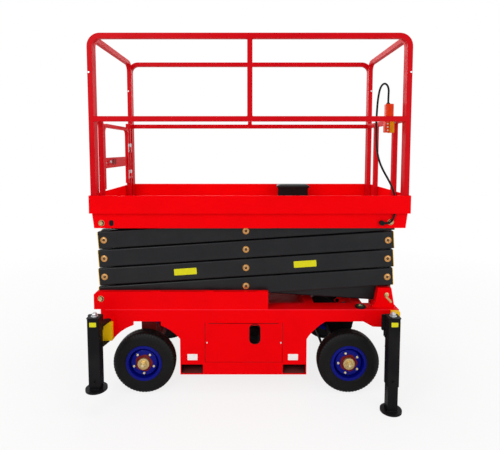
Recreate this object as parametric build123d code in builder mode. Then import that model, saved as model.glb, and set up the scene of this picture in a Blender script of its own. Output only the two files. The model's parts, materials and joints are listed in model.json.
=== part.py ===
from build123d import *
import os
from math import asin, cos, degrees, hypot, pi, radians, sin, tan

# Towable four-stage scissor lift, stowed, its outriggers swung out and the front ones let down.
# Frame: +Z up, +X towards the steered axle (front), +Y to the machine's left.
# The origin is on the ground, under the middle of the machine. Millimetres.

os.makedirs("parts", exist_ok=True)

# ---------------------------------------------------------------- driving sizes

running_gap = 0.05            # radial clearance of a journal in its bush
seat_gap = 0.3                # between a piece and the seat it rolls or hangs on
clear_gap = 5.0               # least distance between parts that move past each other

# wheels
wheel_radius = 200.0
tyre_width = 104.0
tyre_face_y = 445.0           # outer face of the tyres, from the centre plane
rim_radius = 116.0
rim_width = 92.0
hub_cap_radius = 38.0
hub_radius = 48.0
spindle_radius = 15.0
rear_axle_x = -684.0
front_axle_x = 638.0
kingpin_y = 296.0
kingpin_radius = 12.0
steer_arm_length = 110.0
axle_beam = 64.0

# chassis
chassis_half_length = 950.0
chassis_half_width = 445.0
rail_bottom = 481.0
rail_height = 78.0
rail_flange = 120.0
rail_wall = 6.0
cross_tube = 60.0
plate_thickness = 6.0

# box between the axles
box_rear_x = -447.0
box_front_x = 364.0
box_bottom = 130.0
box_wall = 5.0
door_rear_x = -287.0
door_front_x = 209.0
door_bottom = 213.0
door_top = 475.0
door_thickness = 4.0
door_slot_x = 32.0
door_slot_z = 400.0
door_slot_width = 68.0
door_slot_height = 129.0
door_slot_corner = 30.0
pocket_rear_width = 151.0
pocket_front_width = 158.0
pocket_height = 73.0
pocket_wall = 6.0

# scissor
stages = 4
arm_span = 1824.0             # distance between the end pins of an arm
stage_pitch = 119.5           # rise of each stage when stowed
fixed_pin_x = 885.0
first_pin_z = 638.0
arm_height = 112.0
arm_width = 46.0
arm_wall = 5.0
arm_overhang = 35.0
arm_corner = 8.0
arm_gap = 7.0
outer_arm_y = 398.0           # outer face of the outer arms
journal_radius = 15.0
bush_radius = 20.5
bush_lip = 2.0
cross_shaft_radius = 22.0
roller_radius = 28.0
roller_width = 26.0
channel_y = 434.0             # inner face of the two roller channels' webs
channel_wall = 6.0
lower_channel_end_x = 117.0

# lift cylinder
barrel_pin_x = 640.0
barrel_pin_z = 470.0
eye_along_arm = 720.0         # from the fixed pin, along the first inner arm
eye_above_arm = 80.0
barrel_radius = 33.0
rod_radius = 20.0
eye_radius = 24.0
eye_width = 44.0
lug_thickness = 12.0
lug_side_gap = 3.0

# platform
platform_half_length = 1000.0
toe_half_width = 465.0
toe_bottom = 1178.0
toe_top = 1290.0
toe_wall = 6.0
deck_bottom = 1187.0
deck_thickness = 4.0
skirt_setback = 7.0           # of the skirts' top edges inside the toe boards' ends
skirt_half_length = platform_half_length - skirt_setback
skirt_half_width = 437.0
skirt_bottom = 1082.0
skirt_slant = 13.0
skirt_wall = 3.0
deck_bearer = 40.0
deck_bearer_places = (-250.0, 25.0, 300.0)

# guard rails
guard_tube = 32.0
guard_setback = 10.0          # of the guard rails inside the toe boards' ends
guard_half_length = platform_half_length - guard_setback
guard_half_width = 455.0
guard_top = 2280.0
guard_corner = 80.0
mid_rail_top = 1780.0
front_upright_y = 210.0

# gate
gate_latch_post_y = -284.0
gate_hinge_post_y = 338.0
gate_post_tube = 25.0
gate_tube = 25.0
gate_top = 1748.0
gate_bottom = 1310.0
gate_corner = 60.0
gate_plate_z = 1484.0         # middle of the gate's cross plate
gate_plate_height = 72.0
gate_plate_thickness = 6.0
gate_slot_width = 10.0
gate_hinge_heights = [1588.0, 1379.0]
gate_hinge_height = 70.0

# outriggers
leg_tube = 70.0
leg_tube_wall = 4.5
leg_inner_tube = 60.0
leg_inner_length = 300.0
leg_tube_length = 415.0
leg_top = 582.0
leg_foot_radius = 64.0
leg_foot_thickness = 12.0
leg_pivot_inset = 56.0        # of the legs' pivots from the chassis ends
leg_pivot_y = 498.0
leg_offset_y = 124.0          # of the tubes outwards from their pivots
front_leg_shift = -42.0       # of the tubes from their pivots, towards the machine's end
rear_leg_shift = 29.0
leg_block_length = 80.0
leg_block_low = 391.0
leg_block_top = 506.0
leg_block_rim = 27.0          # of the block beyond the pivot
leg_lug_thickness = 7.5
leg_lug_radius = 25.0
leg_lug_gap = 0.5
leg_pin_radius = 11.0
leg_plate_low = 485.0
leg_plate_width = 90.0
leg_plate_thickness = 10.4
leg_screw_radius = 10.0
leg_screw_height = 14.0
raised_foot_height = 136.0    # of the drawn-in rear feet above the ground

# tow eye
tow_reach_x = platform_half_length
tow_bottom = 330.0
tow_thickness = 20.0
tow_hole_radius = 13.0
tow_half_width = 36.0
tow_hanger_inset = 50.0       # of the hanger plate from the chassis end

# ------------------------------------------------------------- worked-out places

rail_top = rail_bottom + rail_height
rest_angle = degrees(asin(stage_pitch / arm_span))
rest_cos = cos(radians(rest_angle))
rest_sin = sin(radians(rest_angle))
rolling_pin_x = fixed_pin_x - arm_span * rest_cos
middle_pin_x = (fixed_pin_x + rolling_pin_x) / 2
outer_arm_mid = outer_arm_y - arm_width / 2
inner_arm_y = outer_arm_y - arm_width - arm_gap
inner_arm_mid = inner_arm_y - arm_width / 2
inner_arm_in = inner_arm_y - arm_width
bush_face = outer_arm_y + bush_lip
last_pin_z = first_pin_z + stages * stage_pitch
deck_top = deck_bottom + deck_thickness
pivot_inner_y = bush_face + 3.0
end_tube_x = guard_half_length - guard_tube / 2
mid_rail_bottom = mid_rail_top - guard_tube
leg_pivot_x = chassis_half_length - leg_pivot_inset
wheel_mid_y = tyre_face_y - tyre_width / 2

# ends of the machine: name, sign of X
# sides of the machine: name, sign of Y
corners = [
    ("front_right", 1, -1),
    ("front_left", 1, 1),
    ("rear_right", -1, -1),
    ("rear_left", -1, 1),
]

# ----------------------------------------------------------------- chassis frame

foot_tube_x = barrel_pin_x + 45
with BuildPart() as chassis_frame:
    # side rails: channels that open inwards
    with BuildSketch(Plane.YZ.offset(-chassis_half_length)):
        for side in (-1, 1):
            with Locations((side * (chassis_half_width - rail_flange / 2), rail_bottom + rail_height / 2)):
                Rectangle(rail_flange, rail_height)
            hollow_y = chassis_half_width - rail_wall - rail_flange / 2
            with Locations((side * hollow_y, rail_bottom + rail_height / 2)):
                Rectangle(rail_flange, rail_height - 2 * rail_wall, mode=Mode.SUBTRACT)
    extrude(amount=2 * chassis_half_length)
    # cross tubes: the two ends, the ends of the box, and the cylinder's foot
    cross_places = [
        -chassis_half_length + cross_tube / 2,
        box_rear_x - cross_tube / 2,
        box_front_x + cross_tube / 2,
        foot_tube_x + cross_tube / 2,
        chassis_half_length - cross_tube / 2,
    ]
    with BuildSketch(Plane.XZ.offset(-chassis_half_width + rail_wall)):
        for place in cross_places:
            with Locations((place, rail_bottom + rail_height / 2)):
                Rectangle(cross_tube, rail_height)
    extrude(amount=2 * (chassis_half_width - rail_wall))
    with BuildSketch(Plane.XZ.offset(-chassis_half_width + rail_flange)):
        for place in cross_places:
            with Locations((place, rail_bottom + rail_height / 2)):
                Rectangle(cross_tube - 2 * rail_wall, rail_height - 2 * rail_wall)
    extrude(amount=2 * (chassis_half_width - rail_flange), mode=Mode.SUBTRACT)
    # lugs for the foot of the lift cylinder
    lug_inner = eye_width / 2 + lug_side_gap
    for side in (-1, 1):
        with BuildSketch(Plane.XZ.offset(-side * (lug_inner + lug_thickness / 2) - lug_thickness / 2)):
            with BuildLine():
                Polyline(
                    (foot_tube_x + 3, rail_bottom + 25),
                    (barrel_pin_x, barrel_pin_z + eye_radius),
                    (barrel_pin_x - eye_radius, barrel_pin_z),
                    (barrel_pin_x, barrel_pin_z - eye_radius),
                    (foot_tube_x + 25, rail_bottom - 10),
                    (foot_tube_x + 25, rail_bottom + 3),
                    (foot_tube_x + 3, rail_bottom + 3),
                    close=True,
                )
            make_face()
            with Locations((barrel_pin_x, barrel_pin_z)):
                Circle(journal_radius, mode=Mode.SUBTRACT)
        extrude(amount=lug_thickness)
    # tow eye: a hanger under the front cross tube and a tongue with an upright pin hole
    hanger_x = chassis_half_length - tow_hanger_inset
    tongue_start_x = hanger_x - tow_thickness / 2
    with BuildSketch(Plane.XY.offset(tow_bottom)):
        with Locations((hanger_x, 0)):
            Rectangle(tow_thickness, 2 * tow_half_width)
    extrude(amount=rail_bottom - tow_bottom)
    tow_eye_x = tow_reach_x - tow_half_width
    with BuildSketch(Plane.XY.offset(tow_bottom)):
        with Locations((tow_eye_x, 0)):
            Circle(tow_half_width)
        with Locations(((tongue_start_x + tow_eye_x) / 2, 0)):
            Rectangle(tow_eye_x - tongue_start_x, 2 * tow_half_width)
        with Locations((tow_eye_x, 0)):
            Circle(tow_hole_radius, mode=Mode.SUBTRACT)
    extrude(amount=tow_thickness)
chassis_frame.part.label = "chassis_frame"
export_step(chassis_frame.part, "parts/chassis_frame.step")

# ----------------------------------------------------------- lower roller channels

lower_floor = first_pin_z - roller_radius - seat_gap
lower_ceiling = first_pin_z + roller_radius + 1
channel_web_y = channel_y + channel_wall
lower_channel_overrun = 44.0  # of the channels past the chassis end
lower_channel_start_x = -chassis_half_length - lower_channel_overrun
channel_chamfer = 18.0

with BuildPart() as roller_channels:
    for side in (-1, 1):
        with BuildSketch(Plane.XZ.offset(-side * (channel_y + channel_wall / 2) - channel_wall / 2)):
            with BuildLine():
                Polyline(
                    (lower_channel_start_x, rail_top),
                    (lower_channel_end_x, rail_top),
                    (lower_channel_end_x, lower_ceiling + channel_wall),
                    (lower_channel_start_x + channel_chamfer, lower_ceiling + channel_wall),
                    (lower_channel_start_x, lower_ceiling + channel_wall - channel_chamfer),
                    close=True,
                )
            make_face()
        extrude(amount=channel_wall)
        flange_mid = side * (channel_y + pivot_inner_y + 2) / 2
        flange_width = channel_y - pivot_inner_y - 2
        channel_mid_x = (lower_channel_start_x + lower_channel_end_x) / 2
        channel_length = lower_channel_end_x - lower_channel_start_x
        with BuildSketch(Plane.XY.offset(lower_floor - channel_wall)):
            with Locations((channel_mid_x, flange_mid)):
                Rectangle(channel_length, flange_width)
        extrude(amount=channel_wall)
        with BuildSketch(Plane.XY.offset(lower_ceiling)):
            with Locations((channel_mid_x + channel_chamfer / 2, flange_mid)):
                Rectangle(channel_length - channel_chamfer, flange_width)
        extrude(amount=channel_wall)
        # foot plate on the rail, under the floor
        with BuildSketch(Plane.XY.offset(rail_top)):
            with Locations((channel_mid_x + 22, flange_mid)):
                Rectangle(channel_length - 44, flange_width)
        extrude(amount=channel_wall)
roller_channels.part.label = "roller_channels"
export_step(roller_channels.part, "parts/roller_channels.step")

# -------------------------------------------------------------- wheel arch plates

plate_y = chassis_half_width - plate_thickness
rear_arch_shift = 24.0        # of the arch's middle from the axle
rear_arch_back = 59.0         # of the plates' inner ends from the axles
rear_arch_fore = 116.0
front_gusset_back = 148.0
end_gusset_fore = 86.0
end_gusset_low_fore = 147.0
rear_arch_radius = 270.0
front_arch_radius = 320.0
gusset_bottom = 360.0
rear_arch_centre_x = rear_axle_x + rear_arch_shift
rear_arch_start_x = rear_axle_x - rear_arch_back
rear_arch_end_x = rear_axle_x + rear_arch_fore
front_gusset_x = front_axle_x - front_gusset_back
end_gusset_start_x = front_axle_x + end_gusset_fore
end_gusset_low_x = front_axle_x + end_gusset_low_fore
end_gusset_depth = 34.0
end_gusset_tip_depth = 41.0
end_gusset_setback = 5.0

with BuildPart() as arch_plates:
    for side in (-1, 1):
        with BuildSketch(Plane.XZ.offset(-side * (plate_y + plate_thickness / 2) - plate_thickness / 2)):
            # behind and before the rear wheel
            with BuildLine():
                Polyline(
                    (-chassis_half_length, rail_bottom),
                    (rear_arch_start_x, rail_bottom),
                    (rear_arch_start_x, gusset_bottom),
                    (-chassis_half_length, gusset_bottom),
                    close=True,
                )
            make_face()
            with BuildLine():
                Polyline(
                    (rear_arch_end_x, rail_bottom),
                    (box_rear_x, rail_bottom),
                    (box_rear_x, gusset_bottom),
                    (rear_arch_end_x, gusset_bottom),
                    close=True,
                )
            make_face()
            # behind the steered wheel
            with BuildLine():
                Polyline(
                    (box_front_x, rail_bottom),
                    (front_gusset_x, rail_bottom),
                    (front_gusset_x, gusset_bottom),
                    (box_front_x, gusset_bottom),
                    close=True,
                )
            make_face()
            with Locations((rear_arch_centre_x, wheel_radius)):
                Circle(rear_arch_radius, mode=Mode.SUBTRACT)
            with Locations((front_axle_x, wheel_radius)):
                Circle(front_arch_radius, mode=Mode.SUBTRACT)
            # shallow plate that carries the front outrigger
            with BuildLine():
                Polyline(
                    (end_gusset_start_x, rail_bottom),
                    (end_gusset_low_x, rail_bottom - end_gusset_depth),
                    (chassis_half_length - end_gusset_setback, rail_bottom - end_gusset_tip_depth),
                    (chassis_half_length - end_gusset_setback, rail_bottom),
                    close=True,
                )
            make_face()
        extrude(amount=plate_thickness)
arch_plates.part.label = "arch_plates"
export_step(arch_plates.part, "parts/arch_plates.step")

# ------------------------------------------------------- box, covers, power unit

box_length = box_front_x - box_rear_x
box_mid_x = (box_front_x + box_rear_x) / 2
box_height = rail_bottom - box_bottom
# fork pockets: centre x, width
fork_pockets = [
    (box_rear_x + pocket_rear_width / 2, pocket_rear_width),
    (box_front_x - pocket_front_width / 2, pocket_front_width),
]

with BuildPart() as power_box:
    with BuildSketch(Plane.XY.offset(box_bottom)):
        with Locations((box_mid_x, 0)):
            Rectangle(box_length, 2 * chassis_half_width)
    extrude(amount=box_height)
    # the inside, above the fork pockets and between them
    with BuildSketch(Plane.XZ.offset(-chassis_half_width + box_wall)):
        with BuildLine():
            Polyline(
                (box_rear_x + box_wall, box_bottom + pocket_height + pocket_wall),
                (box_rear_x + pocket_rear_width + pocket_wall, box_bottom + pocket_height + pocket_wall),
                (box_rear_x + pocket_rear_width + pocket_wall, box_bottom + box_wall),
                (box_front_x - pocket_front_width - pocket_wall, box_bottom + box_wall),
                (box_front_x - pocket_front_width - pocket_wall, box_bottom + pocket_height + pocket_wall),
                (box_front_x - box_wall, box_bottom + pocket_height + pocket_wall),
                (box_front_x - box_wall, rail_bottom - box_wall),
                (box_rear_x + box_wall, rail_bottom - box_wall),
                close=True,
            )
        make_face()
    extrude(amount=2 * (chassis_half_width - box_wall), mode=Mode.SUBTRACT)
    # doorways on both sides
    with BuildSketch(Plane.XZ.offset(-chassis_half_width)):
        with Locations(((door_rear_x + door_front_x) / 2, (door_bottom + door_top) / 2)):
            Rectangle(door_front_x - door_rear_x - 40, door_top - door_bottom - 40)
    extrude(amount=2 * chassis_half_width, mode=Mode.SUBTRACT)
    # fork pockets, right through from side to side
    with BuildSketch(Plane.XZ.offset(-chassis_half_width)):
        for pocket_x, pocket_width in fork_pockets:
            with Locations((pocket_x, box_bottom + pocket_height / 2)):
                Rectangle(pocket_width - 2 * pocket_wall, pocket_height - 2 * pocket_wall)
    extrude(amount=2 * chassis_half_width, mode=Mode.SUBTRACT)
power_box.part.label = "power_box"
export_step(power_box.part, "parts/power_box.step")

with BuildPart() as box_covers:
    for side in (-1, 1):
        door_mid_y = side * (chassis_half_width + door_thickness / 2)
        with BuildSketch(Plane.XZ.offset(-door_mid_y - door_thickness / 2)):
            with Locations(((door_rear_x + door_front_x) / 2, (door_bottom + door_top) / 2)):
                Rectangle(door_front_x - door_rear_x, door_top - door_bottom)
            with Locations((door_slot_x, door_slot_z)):
                RectangleRounded(door_slot_width, door_slot_height, door_slot_corner, mode=Mode.SUBTRACT)
        extrude(amount=door_thickness)
box_covers.part.label = "box_covers"
export_step(box_covers.part, "parts/box_covers.step")

unit_length = 460.0
unit_width = 620.0
unit_height = 190.0
with BuildPart() as power_unit:
    with BuildSketch(Plane.XY.offset(box_bottom + box_wall)):
        with Locations(((door_rear_x + door_front_x) / 2, 0)):
            Rectangle(unit_length, unit_width)
    extrude(amount=unit_height)
power_unit.part.label = "power_unit"
export_step(power_unit.part, "parts/power_unit.step")

# --------------------------------------------------------- fixed pivots of stage 1

pivot_top = 684.0
bracket_foot_back = 92.0      # of the bracket's corners from the pin
bracket_foot_fore = 52.0
bracket_top_back = 55.0
bracket_top_fore = 30.0
bracket_waist_back = 72.0
bracket_waist_rise = 30.0
with BuildPart() as pivot_brackets:
    for side in (-1, 1):
        outer_cheek = side * (inner_arm_y + bush_face) / 2
        cheek_depth = bush_face - inner_arm_y - 2 * clear_gap
        with BuildSketch(Plane.XZ.offset(-outer_cheek - cheek_depth / 2)):
            with BuildLine():
                Polyline(
                    (fixed_pin_x - bracket_foot_back, rail_top),
                    (fixed_pin_x + bracket_foot_fore, rail_top),
                    (fixed_pin_x + bracket_top_fore, pivot_top),
                    (fixed_pin_x - bracket_top_back, pivot_top),
                    (fixed_pin_x - bracket_waist_back, rail_top + bracket_waist_rise),
                    close=True,
                )
            make_face()
            with Locations((fixed_pin_x, first_pin_z)):
                Circle(journal_radius + running_gap, mode=Mode.SUBTRACT)
        extrude(amount=cheek_depth)
pivot_brackets.part.label = "pivot_brackets"
export_step(pivot_brackets.part, "parts/pivot_brackets.step")

# -------------------------------------------------------------------- rear axle

hanger_wall = 10.0
hanger_y = wheel_mid_y - tyre_width / 2 - clear_gap - hanger_wall / 2
hanger_back = 36.0            # of the hanger's top from the axle's middle
hanger_fore = 69.0
hanger_foot_fore = 56.0
spindle_end = wheel_mid_y + rim_width / 2 - 14
with BuildPart() as rear_axle:
    with BuildSketch(Plane.XZ.offset(-hanger_y)):
        with Locations((rear_axle_x, wheel_radius)):
            Rectangle(axle_beam, axle_beam)
    extrude(amount=2 * hanger_y)
    with BuildSketch(Plane.XZ.offset(-spindle_end)):
        with Locations((rear_axle_x, wheel_radius)):
            Circle(spindle_radius)
    extrude(amount=2 * spindle_end)
    # tapering hangers up to the side rails
    for side in (-1, 1):
        with BuildSketch(Plane.XZ.offset(-side * hanger_y - hanger_wall / 2)):
            with BuildLine():
                Polyline(
                    (rear_axle_x - axle_beam / 2, wheel_radius - axle_beam / 2),
                    (rear_axle_x + axle_beam / 2, wheel_radius - axle_beam / 2),
                    (rear_axle_x + hanger_foot_fore, wheel_radius + axle_beam / 2),
                    (rear_axle_x + hanger_fore, rail_bottom),
                    (rear_axle_x - hanger_back, rail_bottom),
                    close=True,
                )
            make_face()
        extrude(amount=hanger_wall)
rear_axle.part.label = "rear_axle"
export_step(rear_axle.part, "parts/rear_axle.step")

# ------------------------------------------------------------------ front axle

jaw_radius = 30.0
jaw_thickness = 12.0
boss_radius = 24.0
boss_height = 76.0
jaw_gap = 0.5
beam_setback = 12.0           # of the beam's end from the knuckle's boss
jaw_reach = 48.0              # of the jaws from the kingpin back onto the beam
post_back = 150.0             # of the posts' tops from the axle's middle
post_fore = 110.0
post_y = 200.0
post_wall = 10.0

with BuildPart() as front_axle:
    beam_end_y = kingpin_y - boss_radius - beam_setback
    with BuildSketch(Plane.XZ.offset(-beam_end_y)):
        with Locations((front_axle_x, wheel_radius)):
            Rectangle(axle_beam, boss_height + 2 * jaw_gap + 2 * jaw_thickness)
    extrude(amount=2 * beam_end_y)
    # jaws above and below each kingpin boss, and the kingpins
    for level in (-1, 1):
        jaw_z = wheel_radius + level * (boss_height / 2 + jaw_gap + jaw_thickness / 2) - jaw_thickness / 2
        with BuildSketch(Plane.XY.offset(jaw_z)):
            for side in (-1, 1):
                with Locations((front_axle_x, side * kingpin_y)):
                    Circle(jaw_radius)
                with Locations((front_axle_x, side * (kingpin_y - jaw_reach / 2))):
                    Rectangle(2 * jaw_radius, jaw_reach)
        extrude(amount=jaw_thickness)
    with BuildSketch(Plane.XY.offset(wheel_radius - boss_height / 2 - jaw_gap - jaw_thickness)):
        with Locations((front_axle_x, kingpin_y), (front_axle_x, -kingpin_y)):
            Circle(kingpin_radius)
    extrude(amount=boss_height + 2 * jaw_gap + 2 * jaw_thickness)
    # posts from the beam up to the cross tubes
    for side in (-1, 1):
        with BuildSketch(Plane.XZ.offset(-side * post_y - post_wall / 2)):
            with BuildLine():
                Polyline(
                    (front_axle_x - post_back, rail_bottom),
                    (front_axle_x + post_fore, rail_bottom),
                    (front_axle_x + axle_beam / 2, wheel_radius),
                    (front_axle_x - axle_beam / 2, wheel_radius),
                    close=True,
                )
            make_face()
        extrude(amount=post_wall)
front_axle.part.label = "front_axle"
export_step(front_axle.part, "parts/front_axle.step")

# steering knuckles: boss on the kingpin, spindle outwards, arm backwards
arm_plate_thickness = 12.0
steer_arm_width = 26.0
steer_eye_radius = 14.0
rod_pin_radius = 8.0
rod_pin_length = 26.0
steer_arm_z = wheel_radius - boss_height / 2

for side_name, side in (("right", -1), ("left", 1)):
    with BuildPart() as knuckle:
        with BuildSketch(Plane.XY.offset(wheel_radius - boss_height / 2)):
            with Locations((front_axle_x, side * kingpin_y)):
                Circle(boss_radius)
        extrude(amount=boss_height)
        spindle_mid_y = side * (kingpin_y + spindle_end) / 2
        with BuildSketch(Plane.XZ.offset(-spindle_mid_y - (spindle_end - kingpin_y) / 2)):
            with Locations((front_axle_x, wheel_radius)):
                Circle(spindle_radius)
        extrude(amount=spindle_end - kingpin_y)
        with BuildSketch(Plane.XY.offset(steer_arm_z)):
            with Locations((front_axle_x - steer_arm_length / 2, side * kingpin_y)):
                Rectangle(steer_arm_length, steer_arm_width)
            with Locations((front_axle_x - steer_arm_length, side * kingpin_y)):
                Circle(steer_eye_radius)
        extrude(amount=arm_plate_thickness)
        # pin for the tie rod's eye, under the arm
        with BuildSketch(Plane.XY.offset(steer_arm_z - rod_pin_length)):
            with Locations((front_axle_x - steer_arm_length, side * kingpin_y)):
                Circle(rod_pin_radius)
        extrude(amount=rod_pin_length)
        with BuildSketch(Plane.XY.offset(wheel_radius - boss_height / 2)):
            with Locations((front_axle_x, side * kingpin_y)):
                Circle(kingpin_radius + running_gap)
        extrude(amount=boss_height, mode=Mode.SUBTRACT)
    knuckle.part.label = "knuckle_" + side_name
    export_step(knuckle.part, "parts/knuckle_" + side_name + ".step")

tie_rod_radius = 9.0
tie_eye_radius = 17.0
tie_eye_height = 20.0
tie_eye_gap = 4.0             # between the rod's eye and the steering arm
tie_rod_z = steer_arm_z - tie_eye_gap - tie_eye_height / 2
tie_bar_end = kingpin_y - rod_pin_radius - 4
with BuildPart() as tie_rod:
    with BuildSketch(Plane.XZ.offset(-tie_bar_end)):
        with Locations((front_axle_x - steer_arm_length, tie_rod_z)):
            Circle(tie_rod_radius)
    extrude(amount=2 * tie_bar_end)
    with BuildSketch(Plane.XY.offset(tie_rod_z - tie_eye_height / 2)):
        with Locations(
            (front_axle_x - steer_arm_length, kingpin_y),
            (front_axle_x - steer_arm_length, -kingpin_y),
        ):
            Circle(tie_eye_radius)
    extrude(amount=tie_eye_height)
    with BuildSketch(Plane.XY.offset(tie_rod_z - tie_eye_height / 2)):
        with Locations(
            (front_axle_x - steer_arm_length, kingpin_y),
            (front_axle_x - steer_arm_length, -kingpin_y),
        ):
            Circle(rod_pin_radius + running_gap)
    extrude(amount=tie_eye_height, mode=Mode.SUBTRACT)
tie_rod.part.label = "tie_rod"
export_step(tie_rod.part, "parts/tie_rod.step")

# ----------------------------------------------------------------------- wheels

bead_radius = 103.0
shoulder_radius = 188.0
for corner, end, side in corners:
    axle_x = front_axle_x if end > 0 else rear_axle_x
    # section drawn with its first axis along the axle, outwards, and its second up
    wheel_plane = Plane(
        origin=(axle_x, side * wheel_mid_y, wheel_radius),
        x_dir=(0, side, 0),
        z_dir=(side, 0, 0),
    )
    half_tyre = tyre_width / 2
    half_rim = rim_width / 2
    with BuildPart() as tyre:
        with BuildSketch(wheel_plane):
            with BuildLine():
                Polyline((-half_rim + 4, bead_radius + 2.3), (-half_rim + 4, rim_radius + 1))
                ThreePointArc(
                    (-half_rim + 4, rim_radius + 1),
                    (-half_tyre, (rim_radius + shoulder_radius) / 2),
                    (-half_tyre + 10, shoulder_radius),
                )
                ThreePointArc(
                    (-half_tyre + 10, shoulder_radius),
                    (0, wheel_radius),
                    (half_tyre - 10, shoulder_radius),
                )
                ThreePointArc(
                    (half_tyre - 10, shoulder_radius),
                    (half_tyre, (rim_radius + shoulder_radius) / 2),
                    (half_rim - 4, rim_radius + 1),
                )
                Polyline(
                    (half_rim - 4, rim_radius + 1),
                    (half_rim - 4, bead_radius + 2.3),
                    (-half_rim + 4, bead_radius + 2.3),
                )
            make_face()
        revolve(axis=Axis((axle_x, side * wheel_mid_y, wheel_radius), (0, 1, 0)))
    tyre.part.label = "tyre_" + corner
    export_step(tyre.part, "parts/tyre_" + corner + ".step")

    # rim: barrel, dished disc, hub and cap, bored for the spindle
    with BuildPart() as rim:
        with BuildSketch(wheel_plane):
            with BuildLine():
                Polyline(
                    (-half_rim + 8, spindle_radius + running_gap),
                    (-half_rim + 8, hub_radius - 8),
                    (half_rim - 40, hub_radius - 8),
                    (half_rim - 40, 72),
                    (half_rim - 52, 92),
                    (-half_rim, 92),
                    (-half_rim, rim_radius),
                    (-half_rim + 3.5, rim_radius),
                    (-half_rim + 3.5, bead_radius + 2),
                    (half_rim - 3.5, bead_radius + 2),
                    (half_rim - 3.5, rim_radius),
                    (half_rim, rim_radius),
                    (half_rim, bead_radius - 5),
                    (half_rim - 40, 92),
                    (half_rim - 34, 78),
                    (half_rim - 34, hub_radius),
                    (half_rim - 20, hub_radius),
                    (half_rim - 20, hub_cap_radius),
                    (half_rim + 4, hub_cap_radius - 2),
                    (half_rim + 4, 0),
                    (half_rim - 12, 0),
                    (half_rim - 12, spindle_radius + running_gap),
                    close=True,
                )
            make_face()
        revolve(axis=Axis((axle_x, side * wheel_mid_y, wheel_radius), (0, 1, 0)))
    rim.part.label = "rim_" + corner
    export_step(rim.part, "parts/rim_" + corner + ".step")

# ------------------------------------------------------------------ scissor arms

arm_length = arm_span + 2 * arm_overhang
bush_depth = arm_width + bush_lip

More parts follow.
